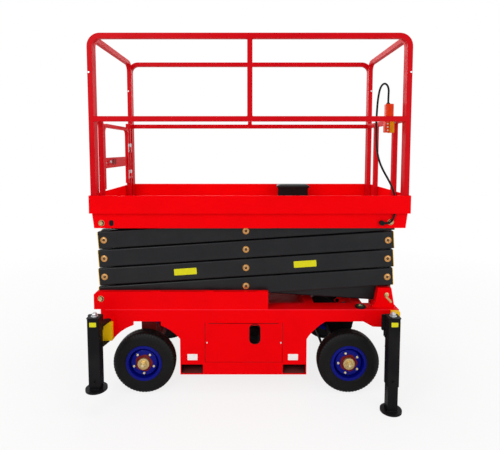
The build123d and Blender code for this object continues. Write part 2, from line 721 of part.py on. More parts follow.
for stage in range(1, stages + 1):
    stage_z = first_pin_z + (stage - 1) * stage_pitch
    middle_z = stage_z + stage_pitch / 2

    # outer arms: low at the rolling end, high at the fixed end
    start = (
        rolling_pin_x - arm_overhang * rest_cos,
        0,
        stage_z - arm_overhang * rest_sin,
    )
    section = Plane(origin=start, x_dir=(0, 1, 0), z_dir=(rest_cos, 0, rest_sin))
    outer_pins = [
        (rolling_pin_x, stage_z),
        (middle_pin_x, middle_z),
        (fixed_pin_x, stage_z + stage_pitch),
    ]
    with BuildPart() as outer_arms:
        with BuildSketch(section):
            with Locations((outer_arm_mid, 0), (-outer_arm_mid, 0)):
                RectangleRounded(arm_width, arm_height, arm_corner)
            with Locations((outer_arm_mid, 0), (-outer_arm_mid, 0)):
                Rectangle(arm_width - 2 * arm_wall, arm_height - 2 * arm_wall, mode=Mode.SUBTRACT)
        extrude(amount=arm_length)
        for cap_distance in (2, arm_length - 2 - arm_wall):
            with BuildSketch(section.offset(cap_distance)):
                with Locations((outer_arm_mid, 0), (-outer_arm_mid, 0)):
                    Rectangle(arm_width - arm_wall, arm_height - arm_wall)
            extrude(amount=arm_wall)
        with BuildSketch(Plane.XZ.offset(-outer_arm_y - 10)):
            with Locations(*outer_pins):
                Circle(bush_radius)
        extrude(amount=2 * outer_arm_y + 20, mode=Mode.SUBTRACT)
    outer_arms.part.label = f"outer_arms_{stage}"
    export_step(outer_arms.part, f"parts/outer_arms_{stage}.step")

    # bronze bushes, proud of the outer arms' outer faces
    with BuildPart() as bushes:
        for side in (-1, 1):
            bush_mid = side * (bush_face - bush_depth / 2)
            with BuildSketch(Plane.XZ.offset(-bush_mid - bush_depth / 2)):
                with Locations(*outer_pins):
                    Circle(bush_radius)
                    Circle(journal_radius + running_gap, mode=Mode.SUBTRACT)
            extrude(amount=bush_depth)
    bushes.part.label = f"bushes_{stage}"
    export_step(bushes.part, f"parts/bushes_{stage}.step")

    # inner frame: low at the fixed end, high at the rolling end, with its cross shafts
    start = (
        fixed_pin_x + arm_overhang * rest_cos,
        0,
        stage_z - arm_overhang * rest_sin,
    )
    section = Plane(origin=start, x_dir=(0, 1, 0), z_dir=(-rest_cos, 0, rest_sin))
    inner_pins = [
        (fixed_pin_x, stage_z),
        (middle_pin_x, middle_z),
        (rolling_pin_x, stage_z + stage_pitch),
    ]
    journal_ends = [bush_face - 4, bush_face - 4, bush_face - 4]
    if stage == stages:
        journal_ends[2] = channel_y - 3
    with BuildPart() as inner_frame:
        with BuildSketch(section):
            with Locations((inner_arm_mid, 0), (-inner_arm_mid, 0)):
                RectangleRounded(arm_width, arm_height, arm_corner)
            with Locations((inner_arm_mid, 0), (-inner_arm_mid, 0)):
                Rectangle(arm_width - 2 * arm_wall, arm_height - 2 * arm_wall, mode=Mode.SUBTRACT)
        extrude(amount=arm_length)
        for cap_distance in (2, arm_length - 2 - arm_wall):
            with BuildSketch(section.offset(cap_distance)):
                with Locations((inner_arm_mid, 0), (-inner_arm_mid, 0)):
                    Rectangle(arm_width - arm_wall, arm_height - arm_wall)
            extrude(amount=arm_wall)
        for pin, journal_end in zip(inner_pins, journal_ends):
            with BuildSketch(Plane.XZ.offset(-inner_arm_in - 10)):
                with Locations(pin):
                    Circle(cross_shaft_radius)
            extrude(amount=2 * inner_arm_in + 20)
            with BuildSketch(Plane.XZ.offset(-journal_end)):
                with Locations(pin):
                    Circle(journal_radius)
            extrude(amount=2 * journal_end)
        if stage == 1:
            # cross shaft and lugs that take the lift cylinder's thrust
            shaft_x = fixed_pin_x - eye_along_arm * rest_cos
            shaft_z = stage_z + eye_along_arm * rest_sin
            with BuildSketch(Plane.XZ.offset(-inner_arm_in - 10)):
                with Locations((shaft_x, shaft_z)):
                    Circle(cross_shaft_radius)
            extrude(amount=2 * inner_arm_in + 20)
            eye_x = shaft_x + eye_above_arm * rest_sin
            eye_z = shaft_z + eye_above_arm * rest_cos
            for side in (-1, 1):
                lug_mid = side * (eye_width / 2 + lug_side_gap + lug_thickness / 2)
                with BuildSketch(Plane.XZ.offset(-lug_mid - lug_thickness / 2)):
                    with Locations((eye_x, eye_z)):
                        Circle(eye_radius)
                    with Locations((shaft_x, shaft_z)):
                        Circle(cross_shaft_radius)
                    with Locations(Location(((eye_x + shaft_x) / 2, (eye_z + shaft_z) / 2), -rest_angle)):
                        Rectangle(2 * cross_shaft_radius, eye_above_arm)
                    with Locations((eye_x, eye_z)):
                        Circle(journal_radius, mode=Mode.SUBTRACT)
                extrude(amount=lug_thickness)
    inner_frame.part.label = f"inner_frame_{stage}"
    export_step(inner_frame.part, f"parts/inner_frame_{stage}.step")

# lower rollers, each on a stub that fits the first outer arm's bush
roller_y = pivot_inner_y + 2 + roller_width / 2
with BuildPart() as lower_rollers:
    for side in (-1, 1):
        stub_start = outer_arm_y - arm_width
        stub_end = roller_y + roller_width / 2
        with BuildSketch(Plane.XZ.offset(-side * (stub_start + stub_end) / 2 - (stub_end - stub_start) / 2)):
            with Locations((rolling_pin_x, first_pin_z)):
                Circle(journal_radius)
        extrude(amount=stub_end - stub_start)
        with BuildSketch(Plane.XZ.offset(-side * roller_y - roller_width / 2)):
            with Locations((rolling_pin_x, first_pin_z)):
                Circle(roller_radius)
        extrude(amount=roller_width)
lower_rollers.part.label = "lower_rollers"
export_step(lower_rollers.part, "parts/lower_rollers.step")

# upper rollers, on the last inner frame's long journals
with BuildPart() as upper_rollers:
    for side in (-1, 1):
        with BuildSketch(Plane.XZ.offset(-side * roller_y - roller_width / 2)):
            with Locations((rolling_pin_x, last_pin_z)):
                Circle(roller_radius)
                Circle(journal_radius + running_gap, mode=Mode.SUBTRACT)
        extrude(amount=roller_width)
upper_rollers.part.label = "upper_rollers"
export_step(upper_rollers.part, "parts/upper_rollers.step")

# ----------------------------------------------------------------- lift cylinder

eye_x = fixed_pin_x - eye_along_arm * rest_cos + eye_above_arm * rest_sin
eye_z = first_pin_z + eye_along_arm * rest_sin + eye_above_arm * rest_cos
cylinder_length = hypot(eye_x - barrel_pin_x, eye_z - barrel_pin_z)
cylinder_x = (eye_x - barrel_pin_x) / cylinder_length
cylinder_z = (eye_z - barrel_pin_z) / cylinder_length
rod_clear_length = 90.0       # of the rod at each end of its travel
bore_start = 70.0
barrel_length = cylinder_length - rod_clear_length
barrel_foot = eye_radius + 20
barrel_start = Plane(
    origin=(barrel_pin_x, 0, barrel_pin_z),
    x_dir=(0, 1, 0),
    z_dir=(cylinder_x, 0, cylinder_z),
)

with BuildPart() as cylinder_barrel:
    with BuildSketch(barrel_start.offset(barrel_foot)):
        Circle(barrel_radius)
    extrude(amount=barrel_length - barrel_foot)
    with BuildSketch(barrel_start):
        Rectangle(eye_width, 2 * eye_radius - 6)
    extrude(amount=barrel_foot + 2)
    with BuildSketch(Plane.XZ.offset(-eye_width / 2)):
        with Locations((barrel_pin_x, barrel_pin_z)):
            Circle(eye_radius)
    extrude(amount=eye_width)
    pin_half = eye_width / 2 + lug_side_gap + lug_thickness
    with BuildSketch(Plane.XZ.offset(-pin_half)):
        with Locations((barrel_pin_x, barrel_pin_z)):
            Circle(journal_radius - running_gap)
    extrude(amount=2 * pin_half)
    with BuildSketch(barrel_start.offset(bore_start)):
        Circle(rod_radius + running_gap)
    extrude(amount=barrel_length, mode=Mode.SUBTRACT)
cylinder_barrel.part.label = "cylinder_barrel"
export_step(cylinder_barrel.part, "parts/cylinder_barrel.step")

with BuildPart() as cylinder_rod:
    with BuildSketch(barrel_start.offset(rod_clear_length)):
        Circle(rod_radius)
    extrude(amount=cylinder_length - rod_clear_length)
    with BuildSketch(Plane.XZ.offset(-eye_width / 2)):
        with Locations((eye_x, eye_z)):
            Circle(eye_radius)
    extrude(amount=eye_width)
cylinder_rod.part.label = "cylinder_rod"
export_step(cylinder_rod.part, "parts/cylinder_rod.step")

# ---------------------------------------------------------------- platform frame

upper_floor = last_pin_z - roller_radius - 1
upper_ceiling = last_pin_z + roller_radius + seat_gap
upper_channel_end_x = 140.0

with BuildPart() as platform_frame:
    skirt_low_half = skirt_half_length - skirt_slant
    # side skirts
    for side in (-1, 1):
        with BuildSketch(Plane.XZ.offset(-side * (skirt_half_width - skirt_wall / 2) - skirt_wall / 2)):
            with BuildLine():
                Polyline(
                    (-skirt_low_half, skirt_bottom),
                    (skirt_low_half, skirt_bottom),
                    (skirt_half_length, deck_bottom),
                    (-skirt_half_length, deck_bottom),
                    close=True,
                )
            make_face()
        extrude(amount=skirt_wall)
        # roller channel: floor and ceiling flanges
        channel_start = -skirt_low_half + 2
        flange_length = upper_channel_end_x - channel_start
        flange_mid_y = side * (pivot_inner_y + 2 + skirt_half_width - 1) / 2
        flange_width = skirt_half_width - 1 - pivot_inner_y - 2
        for level in (upper_floor - channel_wall, upper_ceiling):
            with BuildSketch(Plane.XY.offset(level)):
                with Locations((channel_start + flange_length / 2, flange_mid_y)):
                    Rectangle(flange_length, flange_width)
            extrude(amount=channel_wall)
        # fixed pivot of the last outer arm: a cheek with its pin
        cheek_mid = side * (pivot_inner_y + skirt_half_width - 1) / 2
        cheek_depth = skirt_half_width - 1 - pivot_inner_y
        with BuildSketch(Plane.XZ.offset(-cheek_mid - cheek_depth / 2)):
            with BuildLine():
                Polyline(
                    (fixed_pin_x - 45, deck_bottom),
                    (fixed_pin_x - 30, skirt_bottom),
                    (fixed_pin_x + 30, skirt_bottom),
                    (fixed_pin_x + 45, deck_bottom),
                    close=True,
                )
            make_face()
        extrude(amount=cheek_depth)
        pin_start = outer_arm_y - arm_width
        pin_end = skirt_half_width - 2
        with BuildSketch(Plane.XZ.offset(-side * (pin_start + pin_end) / 2 - (pin_end - pin_start) / 2)):
            with Locations((fixed_pin_x, last_pin_z)):
                Circle(journal_radius)
        extrude(amount=pin_end - pin_start)
    # end skirts, slanting in towards the bottom
    for end in (-1, 1):
        with BuildSketch(Plane.XZ.offset(-skirt_half_width + 1)):
            with BuildLine():
                Polyline(
                    (end * skirt_low_half, skirt_bottom),
                    (end * skirt_half_length, deck_bottom),
                    (end * (skirt_half_length - skirt_wall), deck_bottom),
                    (end * (skirt_low_half - skirt_wall), skirt_bottom),
                    close=True,
                )
            make_face()
        extrude(amount=2 * skirt_half_width - 2)
    # cross bearers under the deck, and two stringers
    with BuildSketch(Plane.XY.offset(deck_bottom - deck_bearer)):
        for bearer_x in deck_bearer_places:
            with Locations((bearer_x, 0)):
                Rectangle(deck_bearer, 2 * skirt_half_width - 2)
        for side in (-1, 1):
            with Locations((0, side * 150)):
                Rectangle(2 * skirt_half_length - 20, deck_bearer)
    extrude(amount=deck_bearer)
    # hole for the cable's grommet
    grommet_inset = 165.0
    grommet_x = skirt_half_length - grommet_inset
    grommet_z = 1116.0
    grommet_radius = 16.0
    grommet_flange = 4.0
    with BuildSketch(Plane.XZ.offset(skirt_half_width - 10)):
        with Locations((grommet_x, grommet_z)):
            Circle(grommet_radius - grommet_flange)
    extrude(amount=20, mode=Mode.SUBTRACT)
platform_frame.part.label = "platform_frame"
export_step(platform_frame.part, "parts/platform_frame.step")

# the deck plate, notched at its edge for the cable
cable_diameter = 13.0
cable_drop_inset = 90.0       # of the deck's notch from the toe board's end
cable_drop_x = platform_half_length - cable_drop_inset
with BuildPart() as platform_deck:
    with BuildSketch(Plane.XY.offset(deck_bottom)):
        Rectangle(2 * (platform_half_length - toe_wall), 2 * (toe_half_width - toe_wall))
        with Locations((cable_drop_x, -(toe_half_width - toe_wall) + 11)):
            Rectangle(36, 22, mode=Mode.SUBTRACT)
    extrude(amount=deck_thickness)
platform_deck.part.label = "platform_deck"
export_step(platform_deck.part, "parts/platform_deck.step")

# toe boards round the deck
with BuildPart() as toe_boards:
    with BuildSketch(Plane.XY.offset(toe_bottom)):
        Rectangle(2 * platform_half_length, 2 * toe_half_width)
        Rectangle(2 * (platform_half_length - toe_wall), 2 * (toe_half_width - toe_wall), mode=Mode.SUBTRACT)
    extrude(amount=toe_top - toe_bottom)
toe_boards.part.label = "toe_boards"
export_step(toe_boards.part, "parts/toe_boards.step")

# -------------------------------------------------------------------- guard rails

for side_name, side in (("right", -1), ("left", 1)):
    face_y = side * (guard_half_width - guard_tube / 2)
    with BuildPart() as side_guard:
        with BuildSketch(Plane.XZ.offset(-face_y - guard_tube / 2)):
            height = guard_top - deck_top
            with Locations((0, deck_top + height / 2)):
                Rectangle(2 * guard_half_length, height)
            fillet(vertices().group_by(Axis.Y)[-1], guard_corner)
            with BuildSketch(mode=Mode.SUBTRACT):
                with Locations((0, deck_top + (height - guard_tube) / 2)):
                    Rectangle(2 * (guard_half_length - guard_tube), height - guard_tube)
                fillet(vertices().group_by(Axis.Y)[-1], guard_corner - guard_tube)
            with Locations((0, mid_rail_top - guard_tube / 2)):
                Rectangle(2 * (guard_half_length - guard_tube / 2), guard_tube)
            with Locations((0, (mid_rail_top + guard_top) / 2 - guard_tube / 2)):
                Rectangle(guard_tube, guard_top - mid_rail_top)
        extrude(amount=guard_tube)
    side_guard.part.label = "guard_" + side_name
    export_step(side_guard.part, "parts/guard_" + side_name + ".step")

end_half_width = guard_half_width - guard_tube
for end_name, end in (("front", 1), ("rear", -1)):
    with BuildPart() as end_guard:
        with BuildSketch(Plane.YZ.offset(end * end_tube_x - guard_tube / 2)):
            height = guard_top - deck_top
            with Locations((0, deck_top + height / 2)):
                Rectangle(2 * end_half_width, height)
            fillet(vertices().group_by(Axis.Y)[-1], guard_corner)
            with BuildSketch(mode=Mode.SUBTRACT):
                with Locations((0, deck_top + (height - guard_tube) / 2)):
                    Rectangle(2 * (end_half_width - guard_tube), height - guard_tube)
                fillet(vertices().group_by(Axis.Y)[-1], guard_corner - guard_tube)
            if end > 0:
                with Locations((0, mid_rail_top - guard_tube / 2)):
                    Rectangle(2 * end_half_width - guard_tube, guard_tube)
                for side in (-1, 1):
                    with Locations((side * front_upright_y, (mid_rail_bottom + 1 + deck_top) / 2)):
                        Rectangle(guard_tube, mid_rail_bottom + 1 - deck_top)
            else:
                # hinge post of the gate, tied to its corner post by a stub
                with Locations((gate_hinge_post_y, (mid_rail_top + deck_top) / 2)):
                    Rectangle(gate_post_tube, mid_rail_top - deck_top)
                with Locations(((gate_hinge_post_y + end_half_width) / 2, mid_rail_top - gate_post_tube / 2)):
                    Rectangle(end_half_width - gate_hinge_post_y, gate_post_tube)
                # latch post, bent over at its top towards the other corner post
                post_outer_y = gate_latch_post_y + gate_post_tube / 2
                post_inner_y = gate_latch_post_y - gate_post_tube / 2
                with BuildSketch():
                    with Locations(((post_outer_y - end_half_width) / 2, (mid_rail_top + deck_top) / 2)):
                        Rectangle(end_half_width + post_outer_y, mid_rail_top - deck_top)
                    fillet(vertices().group_by(Axis.Y)[-1].sort_by(Axis.X)[-1], gate_corner)
                    with BuildSketch(mode=Mode.SUBTRACT):
                        low_top = mid_rail_top - gate_post_tube
                        with Locations(((post_inner_y - end_half_width) / 2, (low_top + deck_top) / 2)):
                            Rectangle(end_half_width + post_inner_y, low_top - deck_top)
                        bend_corner = vertices().group_by(Axis.Y)[-1].sort_by(Axis.X)[-1]
                        fillet(bend_corner, gate_corner - gate_post_tube)
        extrude(amount=guard_tube)
    end_guard.part.label = "guard_" + end_name
    export_step(end_guard.part, "parts/guard_" + end_name + ".step")

# ----------------------------------------------------------------------------- gate

gate_side_gap = 8.0
gate_low_y = gate_latch_post_y + gate_post_tube / 2 + gate_side_gap
gate_high_y = gate_hinge_post_y - gate_post_tube / 2 - 2 * gate_side_gap
hinge_y = gate_hinge_post_y - gate_post_tube / 2 - gate_side_gap
post_face_x = -end_tube_x + guard_tube / 2
hinge_barrel_radius = 7.0
hinge_pin_radius = 3.5
hinge_x = post_face_x + 4
hinge_leaf = hinge_x + end_tube_x - gate_tube / 2 + 4
with BuildPart() as gate:
    with BuildSketch(Plane.YZ.offset(-end_tube_x - gate_tube / 2)):
        with Locations(((gate_low_y + gate_high_y) / 2, (gate_top + gate_bottom) / 2)):
            Rectangle(gate_high_y - gate_low_y, gate_top - gate_bottom)
        fillet(vertices().group_by(Axis.Y)[-1], gate_corner)
        with BuildSketch(mode=Mode.SUBTRACT):
            with Locations(((gate_low_y + gate_high_y) / 2, (gate_top - gate_tube + gate_bottom) / 2)):
                Rectangle(gate_high_y - gate_low_y - 2 * gate_tube, gate_top - gate_tube - gate_bottom)
            fillet(vertices().group_by(Axis.Y)[-1], gate_corner - gate_tube)
    extrude(amount=gate_tube)
    # cross plate between the gate's posts, with a round hole and two upright slots by the latch
    with BuildSketch(Plane.YZ.offset(-end_tube_x - gate_plate_thickness / 2)):
        with Locations(((gate_low_y + gate_high_y) / 2, gate_plate_z)):
            Rectangle(gate_high_y - gate_low_y - gate_tube, gate_plate_height)
        with Locations((gate_low_y + gate_tube + 30, gate_plate_z)):
            Circle(gate_slot_width / 2, mode=Mode.SUBTRACT)
        with Locations(
            (gate_low_y + gate_tube + 62, gate_plate_z),
            (gate_low_y + gate_tube + 84, gate_plate_z),
        ):
            SlotOverall(gate_plate_height * 0.6, gate_slot_width, rotation=90, mode=Mode.SUBTRACT)
    extrude(amount=gate_plate_thickness)
    # hinge barrels, each on a leaf along the gate's post
    for hinge_z in gate_hinge_heights:
        with BuildSketch(Plane.XY.offset(hinge_z - gate_hinge_height / 2)):
            with Locations((hinge_x, hinge_y)):
                Circle(hinge_barrel_radius)
            with Locations(((hinge_x - hinge_leaf / 2), hinge_y - hinge_barrel_radius / 2 - 3)):
                Rectangle(hinge_leaf, hinge_barrel_radius + 2)
            with Locations((hinge_x, hinge_y)):
                Circle(hinge_pin_radius + running_gap, mode=Mode.SUBTRACT)
        extrude(amount=gate_hinge_height * 0.62)
gate.part.label = "gate"
export_step(gate.part, "parts/gate.step")

# fixed halves of the hinges: a leaf on the hinge post, an upper knuckle and its pin
with BuildPart() as gate_hinges:
    for hinge_z in gate_hinge_heights:
        knuckle_z = hinge_z - gate_hinge_height / 2 + gate_hinge_height * 0.64
        with BuildSketch(Plane.XY.offset(knuckle_z)):
            with Locations((hinge_x, hinge_y)):
                Circle(hinge_barrel_radius)
            with Locations((hinge_x - 1, (hinge_y + gate_hinge_post_y) / 2)):
                Rectangle(3, gate_hinge_post_y - hinge_y)
        extrude(amount=gate_hinge_height * 0.36)
        with BuildSketch(Plane.XY.offset(hinge_z - gate_hinge_height / 2)):
            with Locations(((post_face_x + hinge_x + 0.5) / 2, gate_hinge_post_y)):
                Rectangle(hinge_x + 0.5 - post_face_x, gate_post_tube - 4)
        extrude(amount=gate_hinge_height)
        with BuildSketch(Plane.XY.offset(hinge_z - gate_hinge_height / 2 + 2)):
            with Locations((hinge_x, hinge_y)):
                Circle(hinge_pin_radius)
        extrude(amount=gate_hinge_height - 4)
gate_hinges.part.label = "gate_hinges"
export_step(gate_hinges.part, "parts/gate_hinges.step")

# ----------------------------------------------------------------------- outriggers

with BuildPart() as leg_blocks:
    for corner, end, side in corners:
        block_width = leg_pivot_y + leg_block_rim - chassis_half_width
        with BuildSketch(Plane.XY.offset(leg_block_low)):
            with Locations((end * leg_pivot_x, side * (chassis_half_width + block_width / 2))):
                Rectangle(leg_block_length, block_width)
            with Locations((end * leg_pivot_x, side * leg_pivot_y)):
                Circle(leg_pin_radius + running_gap, mode=Mode.SUBTRACT)
        extrude(amount=leg_block_top - leg_block_low)
leg_blocks.part.label = "leg_blocks"
export_step(leg_blocks.part, "parts/leg_blocks.step")

for corner, end, side in corners:
    leg_shift = front_leg_shift if end > 0 else rear_leg_shift
    pivot_x = end * leg_pivot_x
    pivot_y = side * leg_pivot_y
    leg_x = end * (leg_pivot_x + leg_shift)
    leg_y = side * (leg_pivot_y + leg_offset_y)
    tube_face_y = leg_y - side * leg_tube / 2
    lug_low = leg_block_low - leg_lug_gap - leg_lug_thickness
    lug_high = leg_block_top + leg_lug_gap
    with BuildPart() as leg_outer:
        with BuildSketch(Plane.XY.offset(leg_top - leg_tube_length)):
            with Locations((leg_x, leg_y)):
                RectangleRounded(leg_tube, leg_tube, 6)
                Rectangle(leg_tube - 2 * leg_tube_wall, leg_tube - 2 * leg_tube_wall, mode=Mode.SUBTRACT)
        extrude(amount=leg_tube_length)
        with BuildSketch(Plane.XY.offset(leg_top - leg_tube_wall)):
            with Locations((leg_x, leg_y)):
                Rectangle(leg_tube - leg_tube_wall, leg_tube - leg_tube_wall)
        extrude(amount=leg_tube_wall)
        # plate down the tube's inner face, over the upper lug
        with BuildSketch(Plane.XZ.offset(-tube_face_y + (side - 1) / 2 * leg_plate_thickness)):
            with Locations((leg_x + side * (leg_plate_width - leg_tube) / 2, (leg_plate_low + leg_top) / 2)):
                RectangleRounded(leg_plate_width, leg_top - leg_plate_low, 6)
        extrude(amount=leg_plate_thickness)
        # lugs above and below the block, and the pivot pin
        for lug_z in (lug_low, lug_high):
            with BuildSketch(Plane.XY.offset(lug_z)):
                with BuildLine():
                    Polyline(
                        (pivot_x - leg_lug_radius, pivot_y),
                        (pivot_x + leg_lug_radius, pivot_y),
                        (leg_x + leg_tube / 2, tube_face_y + side),
                        (leg_x - leg_tube / 2, tube_face_y + side),
                        close=True,
                    )
                make_face()
                with Locations((pivot_x, pivot_y)):
                    Circle(leg_lug_radius)
            extrude(amount=leg_lug_thickness)
        with BuildSketch(Plane.XY.offset(lug_low)):
            with Locations((pivot_x, pivot_y)):
                Circle(leg_pin_radius)
        extrude(amount=lug_high + leg_lug_thickness - lug_low)
        # end of the jack screw on the top plate
        with BuildSketch(Plane.XY.offset(leg_top)):
            with Locations((leg_x, leg_y)):
                Circle(leg_screw_radius)
        extrude(amount=leg_screw_height)
    leg_outer.part.label = "leg_outer_" + corner
    export_step(leg_outer.part, "parts/leg_outer_" + corner + ".step")

    sole_z = 0 if end > 0 else raised_foot_height
    with BuildPart() as leg_inner:
        with BuildSketch(Plane.XY.offset(sole_z)):
            with Locations((leg_x, leg_y)):
                Circle(leg_foot_radius)
        extrude(amount=leg_foot_thickness)
        with BuildSketch(Plane.XY.offset(sole_z + leg_foot_thickness)):
            with Locations((leg_x, leg_y)):
                Rectangle(leg_inner_tube, leg_inner_tube)
        extrude(amount=leg_inner_length)
    leg_inner.part.label = "leg_inner_" + corner
    export_step(leg_inner.part, "parts/leg_inner_" + corner + ".step")

# -------------------------------------------------------------- handset and deck box

handset_length = 60.0
handset_width = 62.0
handset_standoff = 12.7       # of the case from the guard rail
rail_face_x = guard_half_length - guard_tube - seat_gap
handset_back_x = rail_face_x - handset_standoff
handset_x = handset_back_x - handset_length / 2
handset_y = -262.0
handset_bottom = 1685.0
handset_waist = 1776.0
handset_top = 1874.0
handset_waist_inset = 4.0
handset_corner = 8.0
hook_width = 36.0
hook_thickness = 5.0
hook_reach = 18.0             # of the hook over the middle rail
gland_x = handset_x - 6
gland_radius = 11.0
gland_height = 8.0
gland_top = handset_top + gland_height
with BuildPart() as handset:
    with BuildSketch(Plane.XY.offset(handset_bottom)):
        with Locations((handset_x, handset_y)):
            RectangleRounded(handset_length, handset_width, handset_corner)
    extrude(amount=handset_waist - handset_bottom)
    with BuildSketch(Plane.XY.offset(handset_waist)):
        with Locations((handset_x, handset_y)):
            RectangleRounded(
                handset_length - 2 * handset_waist_inset,
                handset_width - 2 * handset_waist_inset,
                handset_corner,
            )
    extrude(amount=handset_top - handset_waist)
    # hook over the middle rail: a strip down the case's back and a nose over the rail
    with BuildSketch(Plane.XY.offset(mid_rail_bottom)):
        with Locations(((handset_back_x - hook_thickness + rail_face_x) / 2, handset_y)):
            Rectangle(rail_face_x - handset_back_x + hook_thickness, hook_width)
    extrude(amount=guard_tube + seat_gap + hook_thickness)
    with BuildSketch(Plane.XY.offset(mid_rail_top + seat_gap)):
        with Locations(((handset_back_x + rail_face_x + hook_reach) / 2, handset_y)):
            Rectangle(rail_face_x + hook_reach - handset_back_x, hook_width)
    extrude(amount=hook_thickness)
    # gland
    with BuildSketch(Plane.XY.offset(handset_top)):
        with Locations((gland_x, handset_y)):
            Circle(gland_radius)
    extrude(amount=gland_height)
handset.part.label = "handset"
export_step(handset.part, "parts/handset.step")

deck_box_x = 345.0
deck_box_y = 335.0
deck_box_length = 236.0
deck_box_width = 110.0
deck_box_height = 80.0
lid_overhang = 10.0
lid_thickness = 28.0
lid_corner = 12.0
with BuildPart() as deck_box:
    with BuildSketch(Plane.XY.offset(deck_top)):
        with Locations((deck_box_x, deck_box_y)):
            Rectangle(deck_box_length, deck_box_width)
    extrude(amount=deck_box_height)
    with BuildSketch(Plane.XY.offset(deck_top + deck_box_height)):
        with Locations((deck_box_x, deck_box_y)):
            RectangleRounded(
                deck_box_length + 2 * lid_overhang,
                deck_box_width + 2 * lid_overhang,
                lid_corner,
            )
    extrude(amount=lid_thickness)
    fillet(edges().group_by(Axis.Z)[-1], lid_corner - 2)
deck_box.part.label = "deck_box"
export_step(deck_box.part, "parts/deck_box.step")

# ------------------------------------------------------------------ grommet and cable

cable_standoff = 13.0         # of the cable's middle from the skirt
grommet_depth = 18.0
grommet_sleeve_radius = 8.0
grommet_sleeve_length = 24.0
with BuildPart() as grommet:
    with BuildSketch(Plane.XZ.offset(skirt_half_width)):
        with Locations((grommet_x, grommet_z)):
            Circle(grommet_radius)
    extrude(amount=grommet_depth)
    with BuildSketch(Plane.XZ.offset(skirt_half_width - skirt_wall)):
        with Locations((grommet_x, grommet_z)):
            Circle(grommet_radius - grommet_flange - 0.5)
    extrude(amount=skirt_wall)
    with BuildSketch(Plane.YZ.offset(grommet_x)):
        with Locations((-skirt_half_width - cable_standoff, grommet_z)):
            Circle(grommet_sleeve_radius)
    extrude(amount=grommet_sleeve_length)
grommet.part.label = "grommet"
export_step(grommet.part, "parts/grommet.step")

# route of the control cable, from the handset's gland to the grommet
cable_route = [
    (gland_x, handset_y, gland_top),
    (gland_x, handset_y, gland_top + 44),
    (911, -263, 1966),
    (901, -264, 1995),
    (882, -266, 2008),
    (862, -269, 1995),
    (848, -273, 1966),
    (839, -278, 1924),
    (832, -284, 1876),
    (826, -294, 1812),
    (820, -306, 1748),
    (817, -320, 1684),
    (815, -336, 1620),
    (816, -354, 1556),
    (826, -373, 1496),
    (845, -393, 1442),
    (868, -413, 1394),
    (890, -432, 1344),
    (904, -446, 1290),
    (910, -448, 1236),
    (909, -448, 1186),
    (900, -450, 1148),
    (884, -450, 1123),
    (866, -450, 1116),
    (852, -450, 1116),
]


def arc_radii(route):
    """Radius of the arc at each inner point: 0.45 of its shorter run over tan(half the turn)."""
    radii = []
    for before, here, after in zip(route, route[1:], route[2:]):
        run_in = Vector(*here) - Vector(*before)
        run_out = Vector(*after) - Vector(*here)
        half_turn = radians(run_in.get_angle(run_out)) / 2
        radii.append(0.45 * min(run_in.length, run_out.length) / tan(half_turn))
    return radii


cable_radii = arc_radii(cable_route)
print("cable arc radii:", [round(radius) for radius in cable_radii])
with BuildPart() as cable:
    with BuildLine() as cable_path:
        FilletPolyline(*cable_route, radius=cable_radii)
    with BuildSketch(Plane(origin=cable_route[0], z_dir=Vector(*cable_route[1]) - Vector(*cable_route[0]))):
        Circle(cable_diameter / 2)
    sweep(path=cable_path.line)
cable.part.label = "cable"
export_step(cable.part, "parts/cable.step")
cable_length = sum(edge.length for edge in cable_path.line.edges())
print("cable length:", round(cable_length, 1))
print("cable volume over its section times its length:",
      round(cable.part.volume / (pi * cable_diameter ** 2 / 4 * cable_length), 4))
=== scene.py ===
"""Looks of a towable scissor lift: finishes, small fittings, cable, stage, light and camera.

Lengths are in metres. +X is the steered front end, +Z is up, and the right side is -Y.
"""

import json
import math

import bmesh
import bpy
from bpy.props import FloatProperty, FloatVectorProperty, IntProperty
from mathutils import Matrix, Vector


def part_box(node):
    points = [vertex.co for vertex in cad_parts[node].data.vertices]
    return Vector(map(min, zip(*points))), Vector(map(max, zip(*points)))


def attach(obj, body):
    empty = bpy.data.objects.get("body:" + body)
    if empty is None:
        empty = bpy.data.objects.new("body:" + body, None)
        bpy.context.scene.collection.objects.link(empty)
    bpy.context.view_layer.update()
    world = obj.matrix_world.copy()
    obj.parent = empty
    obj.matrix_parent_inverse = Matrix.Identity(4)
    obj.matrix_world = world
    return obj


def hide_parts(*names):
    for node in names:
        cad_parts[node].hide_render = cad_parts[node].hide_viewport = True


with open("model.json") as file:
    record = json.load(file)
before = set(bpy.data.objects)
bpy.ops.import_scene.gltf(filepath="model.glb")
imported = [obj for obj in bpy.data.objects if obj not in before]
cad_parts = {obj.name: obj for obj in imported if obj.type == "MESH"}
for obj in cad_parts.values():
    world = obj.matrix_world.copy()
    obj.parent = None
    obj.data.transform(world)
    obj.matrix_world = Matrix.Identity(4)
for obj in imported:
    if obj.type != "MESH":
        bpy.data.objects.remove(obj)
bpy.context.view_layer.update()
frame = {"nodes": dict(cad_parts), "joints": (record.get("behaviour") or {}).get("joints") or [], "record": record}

bl_info = {
    "name": "Towable scissor lift",
    "version": (1, 0, 0),
    "blender": (4, 5, 0),
    "location": "View3D > Sidebar > Scissor lift",
    "description": "Dresses the packed scissor lift and sets its stage",
    "category": "Object",
}

STAGES = (1, 2, 3, 4)
CORNERS = ("front_right", "front_left", "rear_right", "rear_left")
SIDES = (-1, 1)               # right and left
ENDS = (-1, 1)                # rear and front
FORWARD = Vector((1, 0, 0))
LEFTWARD = Vector((0, 1, 0))
UP = Vector((0, 0, 1))


def box_of(node):
    """Lowest and highest corner of a node at rest, as vectors."""
    low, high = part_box(node)
    return Vector(low), Vector(high)


def middle_of(node):
    """Middle of a node's box at rest."""
    low, high = box_of(node)
    return (low + high) / 2


